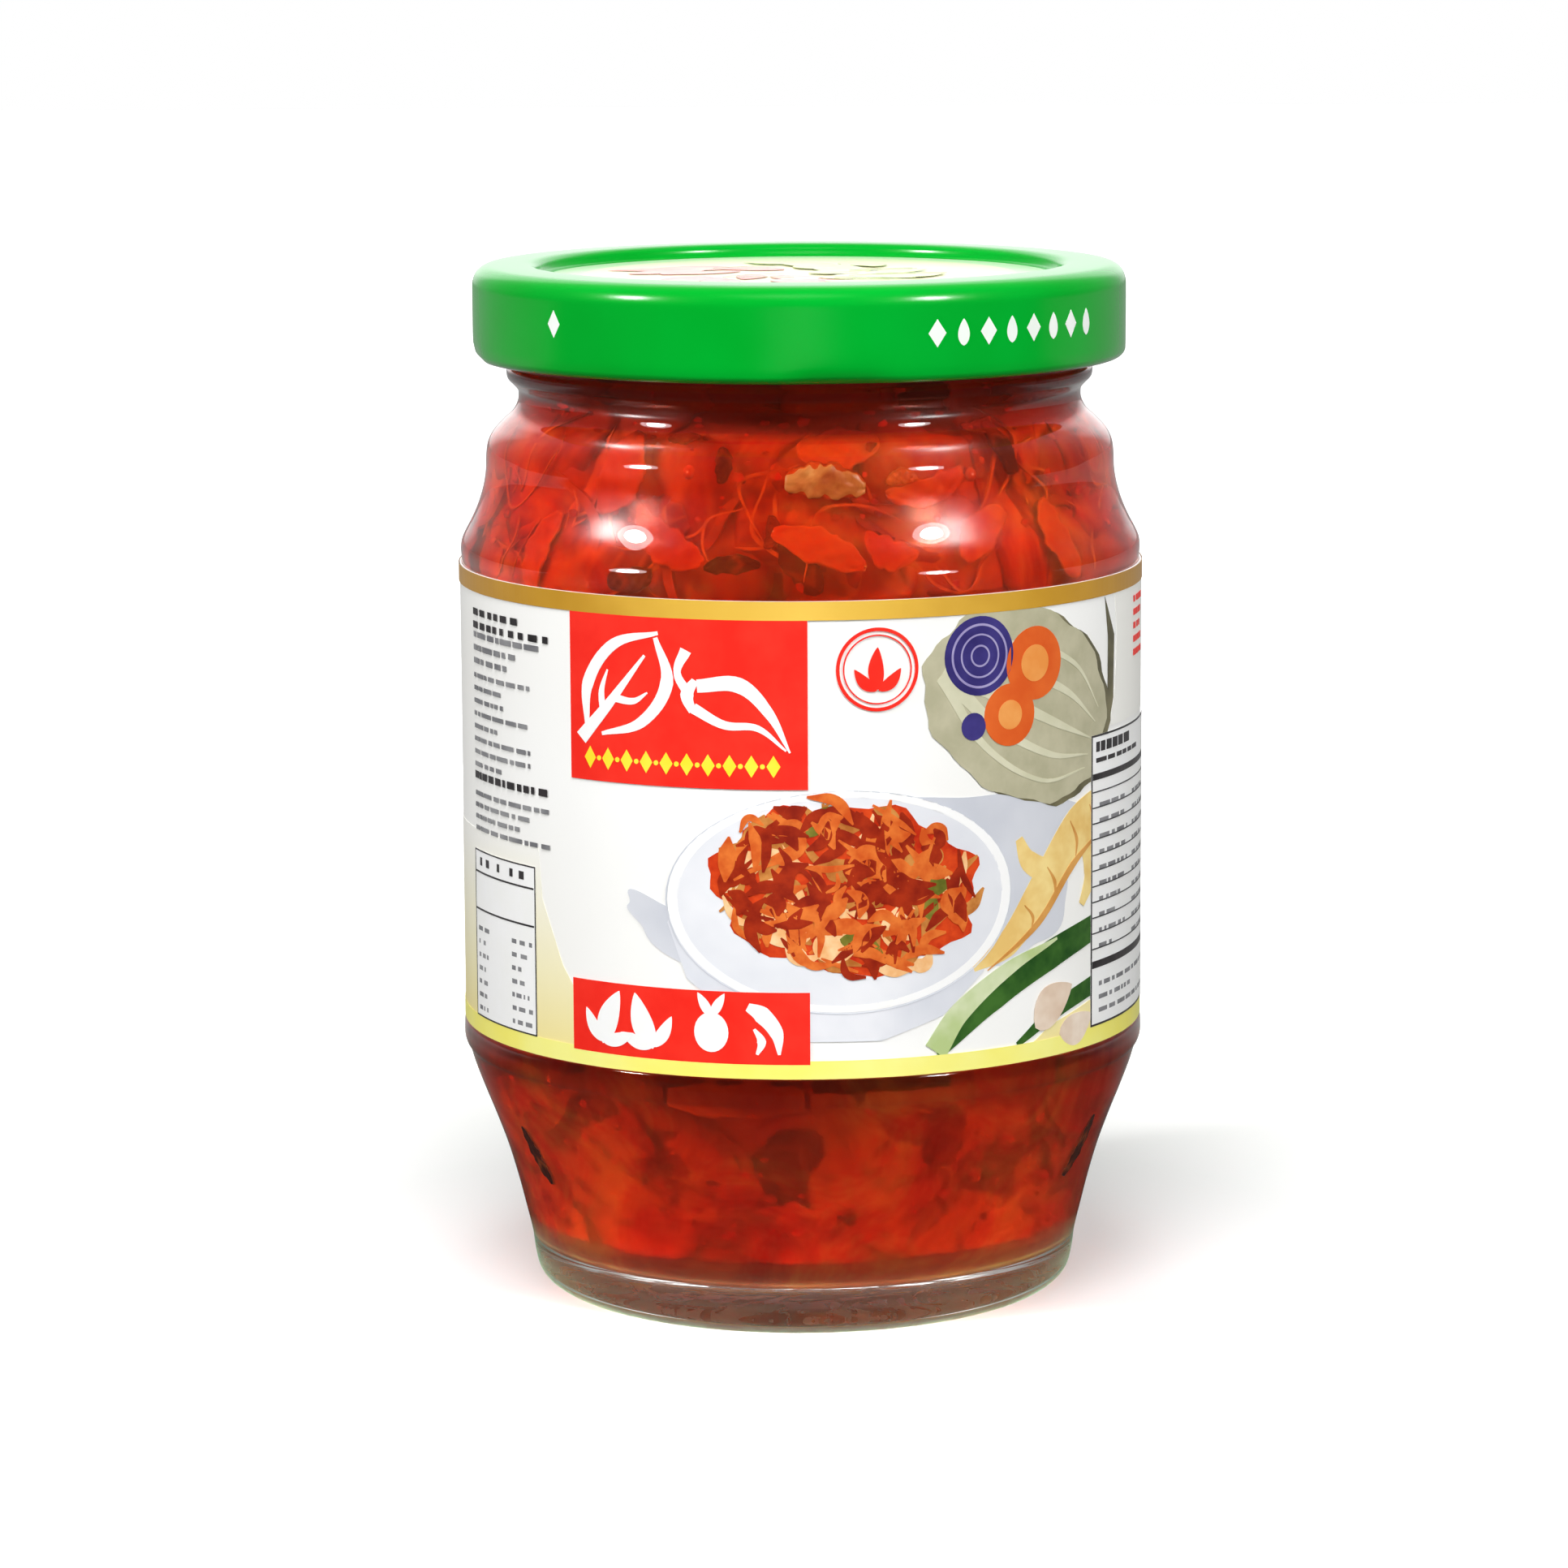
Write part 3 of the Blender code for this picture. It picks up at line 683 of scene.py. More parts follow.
def box(left, bottom, right, top):
    return [(left, bottom), (right, bottom), (right, top), (left, top)]


def disc(x, z, radius, squash=1.0, count=48, start=0.0, end=TURN):
    return [
        (x + radius * math.cos(a), z + squash * radius * math.sin(a))
        for a in np.linspace(start, end, count, endpoint=(end - start) < TURN - 1e-6)
    ]


def lozenge(x, z, half, tall):
    return [(x - half, z), (x, z - tall), (x + half, z), (x, z + tall)]


def ring(x, z, outer, inner, squash=1.0, count=64):
    """A ring as two halves, since a print outline has no hole."""
    halves = []
    for start in (0.0, math.pi):
        out = disc(x, z, outer, squash, count // 2, start, start + math.pi)
        back = disc(x, z, inner, squash, count // 2, start, start + math.pi)
        halves.append(out + back[::-1])
    return halves


def stroke(points, widths):
    """A brush stroke along a smooth line, with its own width at each point."""
    line = np.array(flow(points, 8))
    places = np.linspace(0.0, 1.0, len(line))
    width = np.interp(places, np.linspace(0.0, 1.0, len(widths)), widths)
    run = np.gradient(line, axis=0)
    run /= np.maximum(np.linalg.norm(run, axis=1)[:, None], 1e-9)
    side = np.stack([-run[:, 1], run[:, 0]], axis=1) * 0.5 * width[:, None]
    return [tuple(p) for p in line + side] + [tuple(p) for p in (line - side)[::-1]]


def text_lines(left, right, top, count, pitch, height, rng, longest=2.6, gap=0.45):
    """Rows of plain bars in place of small print."""
    bars = []
    for row in range(count):
        x = left
        z = top - row * pitch
        short = rng.uniform(0.0, 0.5) if rng.random() < 0.5 else 0.0
        end = right - short * (right - left)
        while x < end - 0.3:
            length = rng.uniform(0.5, longest)
            bars.append(box(x, z - height, min(x + length, end), z))
            x += length + gap * rng.uniform(0.7, 1.8)
    return bars


def moved(shapes, x, z, turn=0.0):
    """Shapes about the origin, turned in degrees and set down at a point of the label."""
    c, s = math.cos(math.radians(turn)), math.sin(math.radians(turn))
    return [[(x + c * a - s * b, z + s * a + c * b) for a, b in shape] for shape in shapes]


def leaf_outline(length, width, bend=0.0, count=20):
    """A pointed leaf from the origin along +x."""
    t = np.linspace(0.0, 1.0, count)
    half = 0.5 * width * np.sin(math.pi * t ** 0.8) ** 0.8
    half[0] = half[-1] = 0.0
    mid = bend * np.sin(math.pi * t)
    upper = list(zip(length * t, mid + half))
    lower = list(zip(length * t[1:-1], (mid - half)[1:-1]))
    return upper + lower[::-1]


def leaf_at(x, z, turn, length, width, bend=0.0):
    return moved([leaf_outline(length, width, bend)], x, z, turn)


def wavy_disc(x, z, rx, rz, rng, waves=7, depth=0.08, turn=0.0, count=72):
    """A round with an uneven edge, for a leaf, a heap or a shadow."""
    angles = np.linspace(0.0, TURN, count, endpoint=False)
    edge = 1.0 + depth * np.sin(waves * angles + rng.uniform(0, TURN))
    edge += 0.6 * depth * np.sin((2 * waves + 1) * angles + rng.uniform(0, TURN))
    shape = [(rx * e * math.cos(a), rz * e * math.sin(a)) for a, e in zip(angles, edge)]
    return moved([shape], x, z, turn)[0]


def ruled_box(left, bottom, right, top, line):
    return [
        box(left, bottom, left + line, top), box(right - line, bottom, right, top),
        box(left + line, bottom, right - line, bottom + line), box(left + line, top - line, right - line, top),
    ]


def title_strokes():
    """A cabbage leaf and a chilli in brush strokes, on the upper red panel."""
    thick = [0.5, 1.5, 1.2, 0.4]
    leaf = [
        stroke([(-24.6, 68.2), (-24.4, 73.0), (-21.0, 77.4), (-15.6, 78.9)], thick),
        stroke([(-15.9, 78.4), (-14.6, 73.6), (-17.6, 69.2), (-22.6, 67.6)], thick),
        stroke([(-25.4, 66.9), (-21.6, 71.0), (-17.2, 76.4)], [1.6, 1.1, 0.3]),
        stroke([(-22.4, 70.0), (-22.6, 72.2), (-21.8, 74.6)], [0.9, 0.7, 0.2]),
        stroke([(-20.9, 71.6), (-18.6, 71.4), (-16.9, 72.4)], [0.9, 0.7, 0.2]),
    ]
    chilli = [
        stroke([(-11.2, 73.4), (-6.6, 73.6), (-3.4, 70.6), (-1.2, 66.4)], [1.4, 1.7, 1.1, 0.2]),
        stroke([(-11.6, 71.0), (-8.2, 69.3), (-4.6, 69.0), (-1.6, 66.6)], [1.2, 0.9, 0.7, 0.2]),
        stroke([(-11.4, 74.0), (-12.3, 72.4), (-11.7, 70.6)], [0.8, 1.5, 0.8]),
        stroke([(-12.2, 72.6), (-13.4, 74.8), (-12.4, 77.2)], [1.1, 0.8, 1.3]),
    ]
    return leaf + chilli


def lower_strokes():
    """Four small garden signs on the lower red panel."""
    shapes = []
    for x, turn in ((-22.9, 70.0), (-16.6, 110.0)):
        shapes += leaf_at(x, 33.6, turn, 6.4, 2.6, 0.3)
        shapes += leaf_at(x, 33.8, turn + 52, 4.2, 1.5, 0.2)
        shapes += leaf_at(x, 33.8, turn - 52, 4.2, 1.5, -0.2)
    shapes.append(disc(-9.9, 35.9, 1.9, 1.15, 28))
    shapes += leaf_at(-9.9, 37.6, 60.0, 3.0, 1.1)
    shapes += leaf_at(-9.9, 37.6, 120.0, 3.0, 1.1)
    shapes.append(stroke([(-5.9, 38.8), (-4.4, 38.0), (-2.8, 36.0), (-2.5, 33.6)], [0.9, 1.9, 1.5, 0.3]))
    shapes.append(stroke([(-5.2, 36.4), (-4.4, 35.0), (-4.9, 33.6)], [0.3, 1.0, 0.3]))
    return shapes


HEAP_INKS = ("heap_orange", "heap_tan", "heap_deep", "heap_pale")
HEAP_ORDER = (0, 2, 1, 0, 2, 1, 2, 3, 0)
HEAP_STROKES = 260


def food_strokes(rng):
    """Short curved strokes heaped over the printed bowl, one list for each ink."""
    heaps = [[] for _ in HEAP_INKS]
    for i in range(HEAP_STROKES):
        angle = rng.uniform(0, TURN)
        reach = math.sqrt(rng.uniform(0.0, 1.0))
        x = 5.2 + 13.4 * reach * math.cos(angle) - 2.4 * math.sin(angle) * reach
        z = 51.8 + 8.8 * reach * math.sin(angle)
        length, bend = rng.uniform(2.2, 6.0), rng.uniform(-0.9, 0.9)
        width = rng.uniform(0.5, 2.0)
        line = [(-0.5 * length, 0.0), (0.0, bend * 1.6), (0.5 * length, 0.0)]
        shape = stroke(line, [0.2, width, 0.9 * width, 0.25])
        lean = math.degrees(angle) + 90.0 + rng.uniform(-50, 50) if reach > 0.75 else rng.uniform(0, 360)
        heaps[HEAP_ORDER[i % len(HEAP_ORDER)]] += moved([shape], x, z, lean)
    return heaps


# Inks: the dark and the light colour, the scale of the noise between them and, on the cap, the roughness
# The cap's inks are pale: partly the print's own colour, partly a painted reflection of the bright room.
CAP_INKS = {
    "mint": ((216, 244, 206), (228, 249, 216), 90.0, 0.2),
    "cream": ((248, 242, 196), (253, 249, 216), 60.0, 0.2),
    "pink": ((232, 128, 128), (244, 172, 164), 160.0, 0.2),
    "lime": ((208, 222, 142), (228, 234, 170), 160.0, 0.2),
    "line": ((150, 162, 110), (170, 180, 130), 160.0, 0.2),
    "white": ((240, 248, 240), (252, 255, 252), 90.0, 0.25),
}
LABEL_INKS = {
    "red": ((246, 40, 28), (252, 50, 36), 220.0), "white": ((252, 252, 250), (255, 255, 255), 220.0),
    "grey": ((112, 112, 116), (150, 150, 152), 220.0), "black": ((34, 32, 34), (58, 54, 56), 220.0),
    "yellow": ((255, 226, 40), (255, 236, 70), 220.0), "band": ((255, 243, 104), (255, 251, 148), 60.0),
    "shade": ((204, 207, 216), (224, 226, 232), 60.0), "bowl": ((218, 221, 229), (238, 239, 244), 80.0),
    "bowl_inside": ((226, 228, 234), (240, 241, 245), 80.0), "sage": ((180, 176, 146), (196, 191, 162), 300.0),
    "pale": ((208, 206, 176), (222, 219, 192), 200.0), "dusk": ((92, 88, 66), (128, 122, 92), 200.0),
    "green": ((30, 74, 26), (66, 112, 44), 260.0), "leek": ((186, 206, 140), (232, 238, 206), 160.0),
    "indigo": ((48, 40, 104), (66, 58, 130), 220.0), "lilac": ((150, 140, 190), (176, 168, 206), 220.0),
    "carrot": ((222, 92, 34), (232, 108, 44), 220.0), "amber": ((238, 150, 72), (246, 172, 96), 220.0),
    "root": ((236, 196, 116), (250, 224, 150), 240.0), "rust": ((206, 140, 66), (226, 168, 92), 240.0),
    "clove": ((226, 200, 176), (248, 232, 214), 200.0), "herb": ((96, 100, 30), (140, 132, 52), 500.0),
    "heap_red": ((190, 40, 12), (222, 74, 26), 500.0), "heap_orange": ((208, 84, 28), (232, 124, 52), 500.0),
    "heap_tan": ((176, 100, 40), (214, 144, 72), 500.0), "heap_deep": ((134, 28, 10), (172, 48, 16), 500.0),
    "heap_pale": ((240, 176, 112), (250, 212, 160), 500.0),
}


def make_cap_prints():
    """A pale wreath of leaves on the cap's top and a row of small marks on its side."""
    rng = np.random.default_rng(9)
    inks = {key: ink_material("cap_" + key, *values) for key, values in CAP_INKS.items()}
    pinks, limes, lines = [], [], []
    for i in range(44):
        angle = rng.uniform(0.0, 360.0)
        reach = 21.0 * math.sqrt(rng.uniform(0.02, 1.0))
        x, y = reach * math.cos(math.radians(angle)), reach * math.sin(math.radians(angle))
        leaf = leaf_outline(rng.uniform(6.0, 11.0), rng.uniform(3.0, 5.4), rng.uniform(-0.8, 0.8))
        target = pinks if x < 2.0 + 4.0 * rng.uniform(-1, 1) else limes
        target += moved([leaf], 0.66 * x - 1.5, 0.66 * y, angle + 60.0)
        if i % 5 == 0:
            line = stroke([(0, 0), (4, 0.6), (8.0, 0)], [0.04, 0.14, 0.04])
            lines += moved([line], x * 0.7, y * 0.7, rng.uniform(-30, 30))
    rows = (
        ("ring", [disc(0.0, 0.0, 28.2, 1.0, 128)], "mint"),
        ("ground", [disc(0.0, 0.0, 24.2, 1.0, 128)], "cream"),
        ("pink", pinks, "pink"), ("lime", limes, "lime"), ("lines", lines, "line"),
    )
    made = [flat_print("cap_print_" + row[0], row[1], layer, inks[row[2]]) for layer, row in enumerate(rows)]
    marks = [lozenge(-30.9, 111.0, 1.0, 1.5)]
    for i in range(8):
        x = 15.8 + 3.32 * i
        marks += leaf_at(x, 109.05, 90.0, 2.9, 1.5) if i % 2 else [lozenge(x, 110.5, 1.1, 1.5)]
    made.append(wrap_print("cap_print_side", marks, 0, inks["white"], CAP_RADIUS))
    return made


# The label's printed area in millimetres
PRINT_EDGE = 0.5 * (TURN - LABEL_SEAM_GAP) * LABEL_RADIUS / MM - 0.02
PRINT_LOW, PRINT_HIGH = LABEL_BOTTOM / MM + 0.01, LABEL_TOP / MM - 0.01
GOLD_BAND, YELLOW_BAND = 2.02, 2.0
RIGHT_BOX = (37.2, 32.9, 58.0, 65.4)
LEFT_BOX = (-47.4, 32.9, -32.9, 51.8)


def lay_grounds(lay, rng):
    """The cream washes, the shadows and the outside of the bowl."""
    low, high = PRINT_LOW, PRINT_HIGH
    lay("print_cream", 1, "cream", [
        [(-58.0, low), (-22.0, low), (-24.5, 36.0), (-28.6, 41.5), (-31.8, 48.5), (-32.4, 54.0), (-58.0, 54.0)],
        [(41.5, 66.0), (58.0, 66.0), (58.0, high), (42.5, high), (43.4, 76.0), (42.9, 70.0)],
        [(24.0, low), (58.0, low), (58.0, 36.0), (37.0, 36.0), (30.0, 34.4)],
    ])
    lay("print_shade", 1, "shade", [
        wavy_disc(21.0, 57.0, 17.5, 4.0, rng, 3, 0.08, -6.0),
        wavy_disc(24.5, 48.0, 8.0, 6.0, rng, 3, 0.10, 20.0),
        wavy_disc(-12.0, 45.5, 9.0, 2.4, rng, 3, 0.10, -28.0),
    ])
    lay("print_bowl_side", 2, "bowl", [
        [(-14.8, 47.6), (-12.6, 41.6), (-7.0, 37.4), (0.5, 35.0), (8.5, 34.9), (15.5, 37.2), (20.5, 41.6),
         (23.2, 49.4), (22.0, 54.0), (-13.2, 53.0)],
    ])
    lay("print_bowl_rim", 3, "white", ring(4.6, 50.2, 19.4, 18.2, 0.62))
    lay("print_bowl_line", 3, "shade", ring(4.6, 50.1, 19.62, 19.44, 0.62))


def lay_panels(lay, rng):
    """The red panels with their signs, the ringed leaf and the row of lozenges."""
    lay("print_red", 4, "red", [
        box(-26.9, 62.4, 0.7, PRINT_HIGH - GOLD_BAND), box(-27.0, 32.5, 0.8, 40.4),
        *ring(8.2, 75.2, 4.5, 4.12), *ring(8.2, 75.2, 3.75, 3.6),
        *leaf_at(8.2, 73.0, 90.0, 4.6, 1.7, 0.2),
        *leaf_at(8.1, 72.9, 136.0, 3.4, 1.3, 0.3), *leaf_at(8.3, 72.9, 44.0, 3.4, 1.3, -0.3),
        *text_lines(49.5, 54.5, 79.4, 5, 1.5, 0.7, rng),
    ])
    lay("print_white", 5, "white", title_strokes() + lower_strokes())
    seeds = []
    for i in range(10):
        x = -24.2 + 2.36 * i
        seeds += [lozenge(x, 64.9, 0.75, 1.2), disc(x + 1.18, 64.9, 0.28, 1.0, 12)]
    lay("print_yellow", 5, "yellow", seeds[:-1])


def lay_cabbage(lay, rng):
    """The cabbage, with slices of onion and carrot on it."""
    x, z, lean = 26.8, 70.2, -24.0
    head = moved([wavy_disc(0.0, 0.0, 14.2, 10.2, rng, 9, 0.022)], x, z, lean)
    lay("print_leaf_edge", 2, "dusk", moved(head, 1.0, -0.4) + [
        [(40.2, 80.4), (42.6, 76.0), (42.4, 69.0), (40.0, 63.0), (41.0, 70.0), (41.0, 76.0)],
    ])
    lay("print_cabbage", 3, "sage", head)
    ribs = []
    for bend, width in ((5.4, 0.9), (2.6, 1.3), (-0.6, 1.5), (-3.6, 1.2), (-6.2, 0.8)):
        line = [(-12.0, bend * 0.2), (-4.0, bend), (5.0, bend * 1.15), (11.5, bend * 0.6)]
        ribs += moved([stroke(line, [width * 1.6, width, 0.6 * width, 0.1])], x, z, lean)
    lay("print_cabbage_ribs", 4, "pale", ribs)
    lay("print_onion", 5, "indigo", [disc(20.0, 76.0, 4.3, 1.0, 40), disc(19.2, 68.4, 1.5, 1.0, 24)])
    rings = []
    for outer, inner in ((3.5, 3.25), (2.4, 2.2), (1.2, 1.0)):
        rings += ring(20.0, 76.0, outer, inner)
    lay("print_onion_rings", 6, "lilac", rings)
    lay("print_carrot", 5, "carrot", [disc(27.4, 74.6, 4.0, 1.0, 40), disc(23.9, 69.3, 3.4, 1.0, 36)])
    lay("print_carrot_heart", 6, "amber", [disc(27.4, 74.6, 2.0, 1.0, 28), disc(23.9, 69.3, 1.6, 1.0, 24)])


def lay_vegetables(lay):
    """The root, leek and cloves under the bowl, and the white of the two ruled boxes."""
    lay("print_box_fill", 4, "white", [box(*RIGHT_BOX), box(*LEFT_BOX)])
    lay("print_root", 2, "root", [
        stroke(
            [(40.0, 57.5), (34.6, 55.4), (29.0, 50.0), (23.6, 44.2), (19.2, 42.0)], [5.2, 5.6, 4.4, 3.0, 0.8],
        ),
        stroke([(30.5, 51.0), (26.6, 53.0), (25.2, 55.6)], [3.0, 2.4, 1.0]),
        stroke([(36.0, 55.6), (37.2, 50.4), (35.4, 47.0)], [3.0, 2.6, 1.0]),
    ])
    lay("print_root_marks", 3, "rust", [
        stroke([(36.9, 57.9), (37.8, 55.8), (37.4, 53.6)], [0.1, 0.5, 0.1]),
        stroke([(33.2, 56.6), (34.4, 54.4), (34.2, 52.4)], [0.1, 0.5, 0.1]),
        stroke([(29.4, 52.0), (30.6, 50.2), (30.6, 48.6)], [0.1, 0.5, 0.1]),
        stroke([(26.0, 48.2), (27.2, 46.8), (27.0, 45.4)], [0.1, 0.4, 0.1]),
        stroke([(38.8, 54.6), (33.6, 51.6), (28.0, 46.0), (21.0, 41.6)], [0.2, 0.9, 0.8, 0.1]),
    ])
    lay("print_green", 2, "green", [
        stroke([(15.0, 32.8), (22.0, 38.6), (30.0, 42.2), (40.0, 44.6)], [0.8, 3.0, 3.4, 2.8]),
        stroke([(25.0, 32.9), (31.0, 36.0), (40.0, 38.2)], [0.6, 2.0, 2.2]),
    ])
    lay("print_leek", 3, "leek", [
        stroke([(14.6, 33.3), (17.6, 37.4), (24.0, 41.6), (31.0, 43.9)], [2.8, 2.4, 1.6, 0.3]),
    ])
    cloves = leaf_at(27.6, 34.4, 34.0, 7.2, 4.4, 0.6) + leaf_at(31.4, 33.2, 12.0, 6.2, 3.6, -0.5)
    lay("print_cloves", 4, "clove", cloves)


def lay_food(lay, rng):
    """The heap in the bowl."""
    lay("print_bowl_inside", 3, "bowl_inside", [disc(4.6, 50.2, 18.3, 0.62, 64)])
    lay("print_heap", 4, "heap_red", [wavy_disc(5.0, 51.6, 14.6, 9.0, rng, 7, 0.06, -6.0)])
    for i, (ink, shapes) in enumerate(zip(HEAP_INKS, food_strokes(rng))):
        lay("print_" + ink, 5 if i % 2 else 6, ink, shapes)
    herbs = []
    for x, z, turn in ((12.0, 50.0, 20.0), (14.5, 47.6, 100.0), (4.0, 46.2, -20.0), (0.5, 57.4, 40.0)):
        herbs += leaf_at(x, z, turn, 5.0, 2.2, 0.4)
    lay("print_herbs", 6, "herb", herbs)
    lay("print_radish", 6, "heap_pale", [disc(-1.6, 47.8, 3.1, 0.8, 32), disc(3.4, 45.4, 2.3, 0.8, 28)])


def lay_small_print(lay, rng):
    """Plain bars and ruled boxes in place of the small print."""
    grey_rows = (
        # left, right, top, rows, pitch, height and, in two of them, the longest bar
        (-46.9, -31.4, 76.2, 3, 1.45, 0.62), (-46.9, -33.6, 71.6, 8, 1.42, 0.5),
        (-46.9, -30.4, 58.4, 4, 1.3, 0.5), (-46.4, -43.0, 43.2, 7, 1.5, 0.5, 1.4),
        (-37.6, -33.6, 43.2, 7, 1.5, 0.5, 1.4), (39.0, 47.0, 57.8, 10, 1.75, 0.5),
        (49.0, 57.0, 57.8, 10, 1.75, 0.5), (39.0, 57.0, 37.8, 3, 1.5, 0.5),
    )
    lay("print_small_grey", 4, "grey", [
        bar for left, right, top, count, pitch, height, *longest in grey_rows
        for bar in text_lines(left, right, top, count, pitch, height, rng, *longest)
    ])
    rules = [box(-47.1, z, -33.2, z + 0.2) for z in (49.2, 45.0)]
    rules += [box(37.5, 59.0 - 1.75 * i, 57.7, 59.14 - 1.75 * i) for i in range(11)]
    lay("print_black", 5, "black", [
        *text_lines(-46.9, -28.8, 78.8, 2, 1.45, 0.75, rng, 1.6, 0.7),
        *text_lines(-46.9, -30.0, 60.6, 1, 1.3, 0.8, rng, 1.6),
        *ruled_box(*LEFT_BOX, 0.16), *rules, *text_lines(-45.6, -35.0, 51.0, 1, 1.4, 0.9, rng, 1.2, 1.4),
        *ruled_box(*RIGHT_BOX, 0.22), box(37.5, 60.4, 57.7, 61.1), box(37.5, 39.4, 57.7, 40.2),
        *text_lines(38.2, 56.0, 64.6, 1, 1.6, 1.1, rng, 2.2, 0.3),
        *text_lines(38.2, 56.0, 62.8, 1, 1.6, 0.5, rng),
    ])


def make_prints():
    """The label's design: bands, red panels, a bowl of kimchi and vegetables, ruled boxes without words."""
    rng = np.random.default_rng(5)
    inks = {key: ink_material("ink_" + key, *values) for key, values in LABEL_INKS.items()}
    inks["cream"] = cream_ink()
    inks["gold"] = gold_ink()
    made = []

    def lay(name, layer, ink, shapes):
        made.append(wrap_print(name, shapes, layer, inks[ink]))

    lay_grounds(lay, rng)
    lay_panels(lay, rng)
    lay_cabbage(lay, rng)
    lay_vegetables(lay)
    lay_food(lay, rng)
    lay_small_print(lay, rng)
    lay("band_gold", 4, "gold", [box(-PRINT_EDGE, PRINT_HIGH - GOLD_BAND, PRINT_EDGE, PRINT_HIGH)])
    lay("band_yellow", 4, "band", [box(-PRINT_EDGE, PRINT_LOW, PRINT_EDGE, PRINT_LOW + YELLOW_BAND)])
    return made


# Food

FOOD_FLOOR = 0.0085
FOOD_TOP = FILL_HEIGHT - 0.001
LEAF_BITE = 0.0003              # how far a pressed leaf may reach into the glass
VEIN_RISE = 0.00018
WALL_BITE = 0.00018             # how far the liquid reaches into the glass
CORE_GAP = 0.0042
SHOULDER_START = 0.0835
FLAKE_THICKNESS = 0.00025
FOOT_SPAN = (0.011, 0.029)


def as_food(made):
    """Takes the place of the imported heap."""
    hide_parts("kimchi")
    return made


def join(name, parts, material, values=None):
    """One piece of the food, made of many (points, faces) parts."""
    points, faces, base = [], [], 0
    for part_points, part_faces in parts:
        points.append(part_points)
        faces += [tuple(base + k for k in face) for face in part_faces]
        base += len(part_points)
    return as_food(add_mesh(name, np.concatenate(points), faces, material, values=values))


def join_leaves(name, leaves, material):
    """The same for leaves, which also bring their vein and tone values."""
    values = {key: np.concatenate([leaf[i] for leaf in leaves]) for key, i in (("vein", 2), ("tone", 3))}
    return join(name, [leaf[:2] for leaf in leaves], material, values)


def join_sharp(name, parts, material):
    """The same for small parts with sharp edges."""
    made = join(name, parts, material)
    made.data.set_sharp_from_angle(angle=math.radians(50))
    return made


def leaf_grid(rng, columns, rows, place, size, tone, flat=False, outlined=0.0):
    """One pressed leaf as a closed thin solid: its points, faces, vein values and tone values.

    place is its angle, height, tilt and depth under the glass, size its length, width and thickness.
    """
    angle, height, tilt, depth = place
    length, width, thickness = size
    u = np.linspace(-0.5, 0.5, columns + 1)[None, :].repeat(rows + 1, axis=0)
    v = np.linspace(-0.5, 0.5, rows + 1)[:, None].repeat(columns + 1, axis=1)
    ends = np.clip(np.cos(math.pi * u * 0.93), 0.0, 1.0) ** rng.uniform(0.35, 0.7)
    ragged = 1.0 + 0.10 * np.sin(TURN * rng.uniform(1.5, 3.5) * u + rng.uniform(0, TURN) + 3.0 * np.sign(v))
    ragged += 0.05 * np.sin(TURN * rng.uniform(5, 9) * u + rng.uniform(0, TURN))
    x = length * u
    y = width * v * ends * ragged + width * rng.uniform(-0.35, 0.35) * (4 * u * u - 0.3)
    across = np.abs(v) * width * ends
    spacing = rng.uniform(0.0036, 0.0052)
    shift = rng.uniform(0, 1)
    phase = (x + rng.uniform(0.7, 1.2) * across) / spacing + shift
    side_vein = np.exp(-((phase - np.floor(phase) - 0.5) * spacing / 0.00042) ** 2)
    mid_vein = np.exp(-(v * width / (0.0006 + 0.0008 * (0.5 - u))) ** 2)
    vein = 0.3 * side_vein if flat else np.clip(mid_vein + 0.7 * side_vein, 0.0, 1.0)
    rim_share = np.maximum(np.abs(2 * v), np.abs(2 * u)) ** 6
    vein = np.clip(vein + outlined * rim_share, 0.0, 1.0)
    dx = x * math.cos(tilt) - y * math.sin(tilt)
    dz = x * math.sin(tilt) + y * math.cos(tilt)
    z = height + dz
    z = np.where(z < FOOD_FLOOR, FOOD_FLOOR - 0.06 * (FOOD_FLOOR - z), z)
    z = np.where(z > FOOD_TOP, FOOD_TOP + 0.06 * (z - FOOD_TOP), z)
    radius = inside_radius(z)
    wave = np.sin(TURN * rng.uniform(0.8, 1.8) * u + rng.uniform(0, TURN) + rng.uniform(-3, 3) * v)
    fine = np.sin(TURN * rng.uniform(3, 5) * u + rng.uniform(0, TURN)) * np.sin(TURN * rng.uniform(1, 2) * v)
    curl = 0.0016 * (2 * v) ** 4 * rng.uniform(0.2, 1.0)
    drop = depth + 0.0001 * fine + 0.15 * curl if flat else depth + 0.0007 * (1.0 + wave) + 0.0003 * fine + curl
    drop = np.maximum(drop - VEIN_RISE * vein, -LEAF_BITE)
    theta = angle + dx / radius
    thick = thickness * (0.55 + 0.45 * np.exp(-(v / 0.22) ** 2))

    def at(r):
        return np.stack([r * np.cos(theta), r * np.sin(theta), z], axis=-1).reshape(-1, 3)

    points = np.concatenate([at(radius - drop), at(radius - drop - thick)])
    count = (rows + 1) * (columns + 1)
    line = columns + 1
    faces = []
    for j in range(rows):
        for i in range(columns):
            a = j * line + i
            faces.append((a, a + 1, a + line + 1, a + line))
            faces.append((count + a + line, count + a + line + 1, count + a + 1, count + a))
    rim = list(range(line)) + [j * line + columns for j in range(1, rows + 1)]
    rim += [rows * line + i for i in range(columns - 1, -1, -1)] + [j * line for j in range(rows - 1, 0, -1)]
    for here, there in zip(rim, rim[1:] + rim[:1]):
        faces.append((there, here, count + here, count + there))
    tones = np.full(2 * count, tone)
    return points, faces, np.concatenate([vein.ravel(), 0.5 * vein.ravel()]), tones


LEAF_TONES = (0.46, 0.50, 0.44, 0.66, 0.52, 0.34, 0.48, 0.80, 0.42, 0.60)

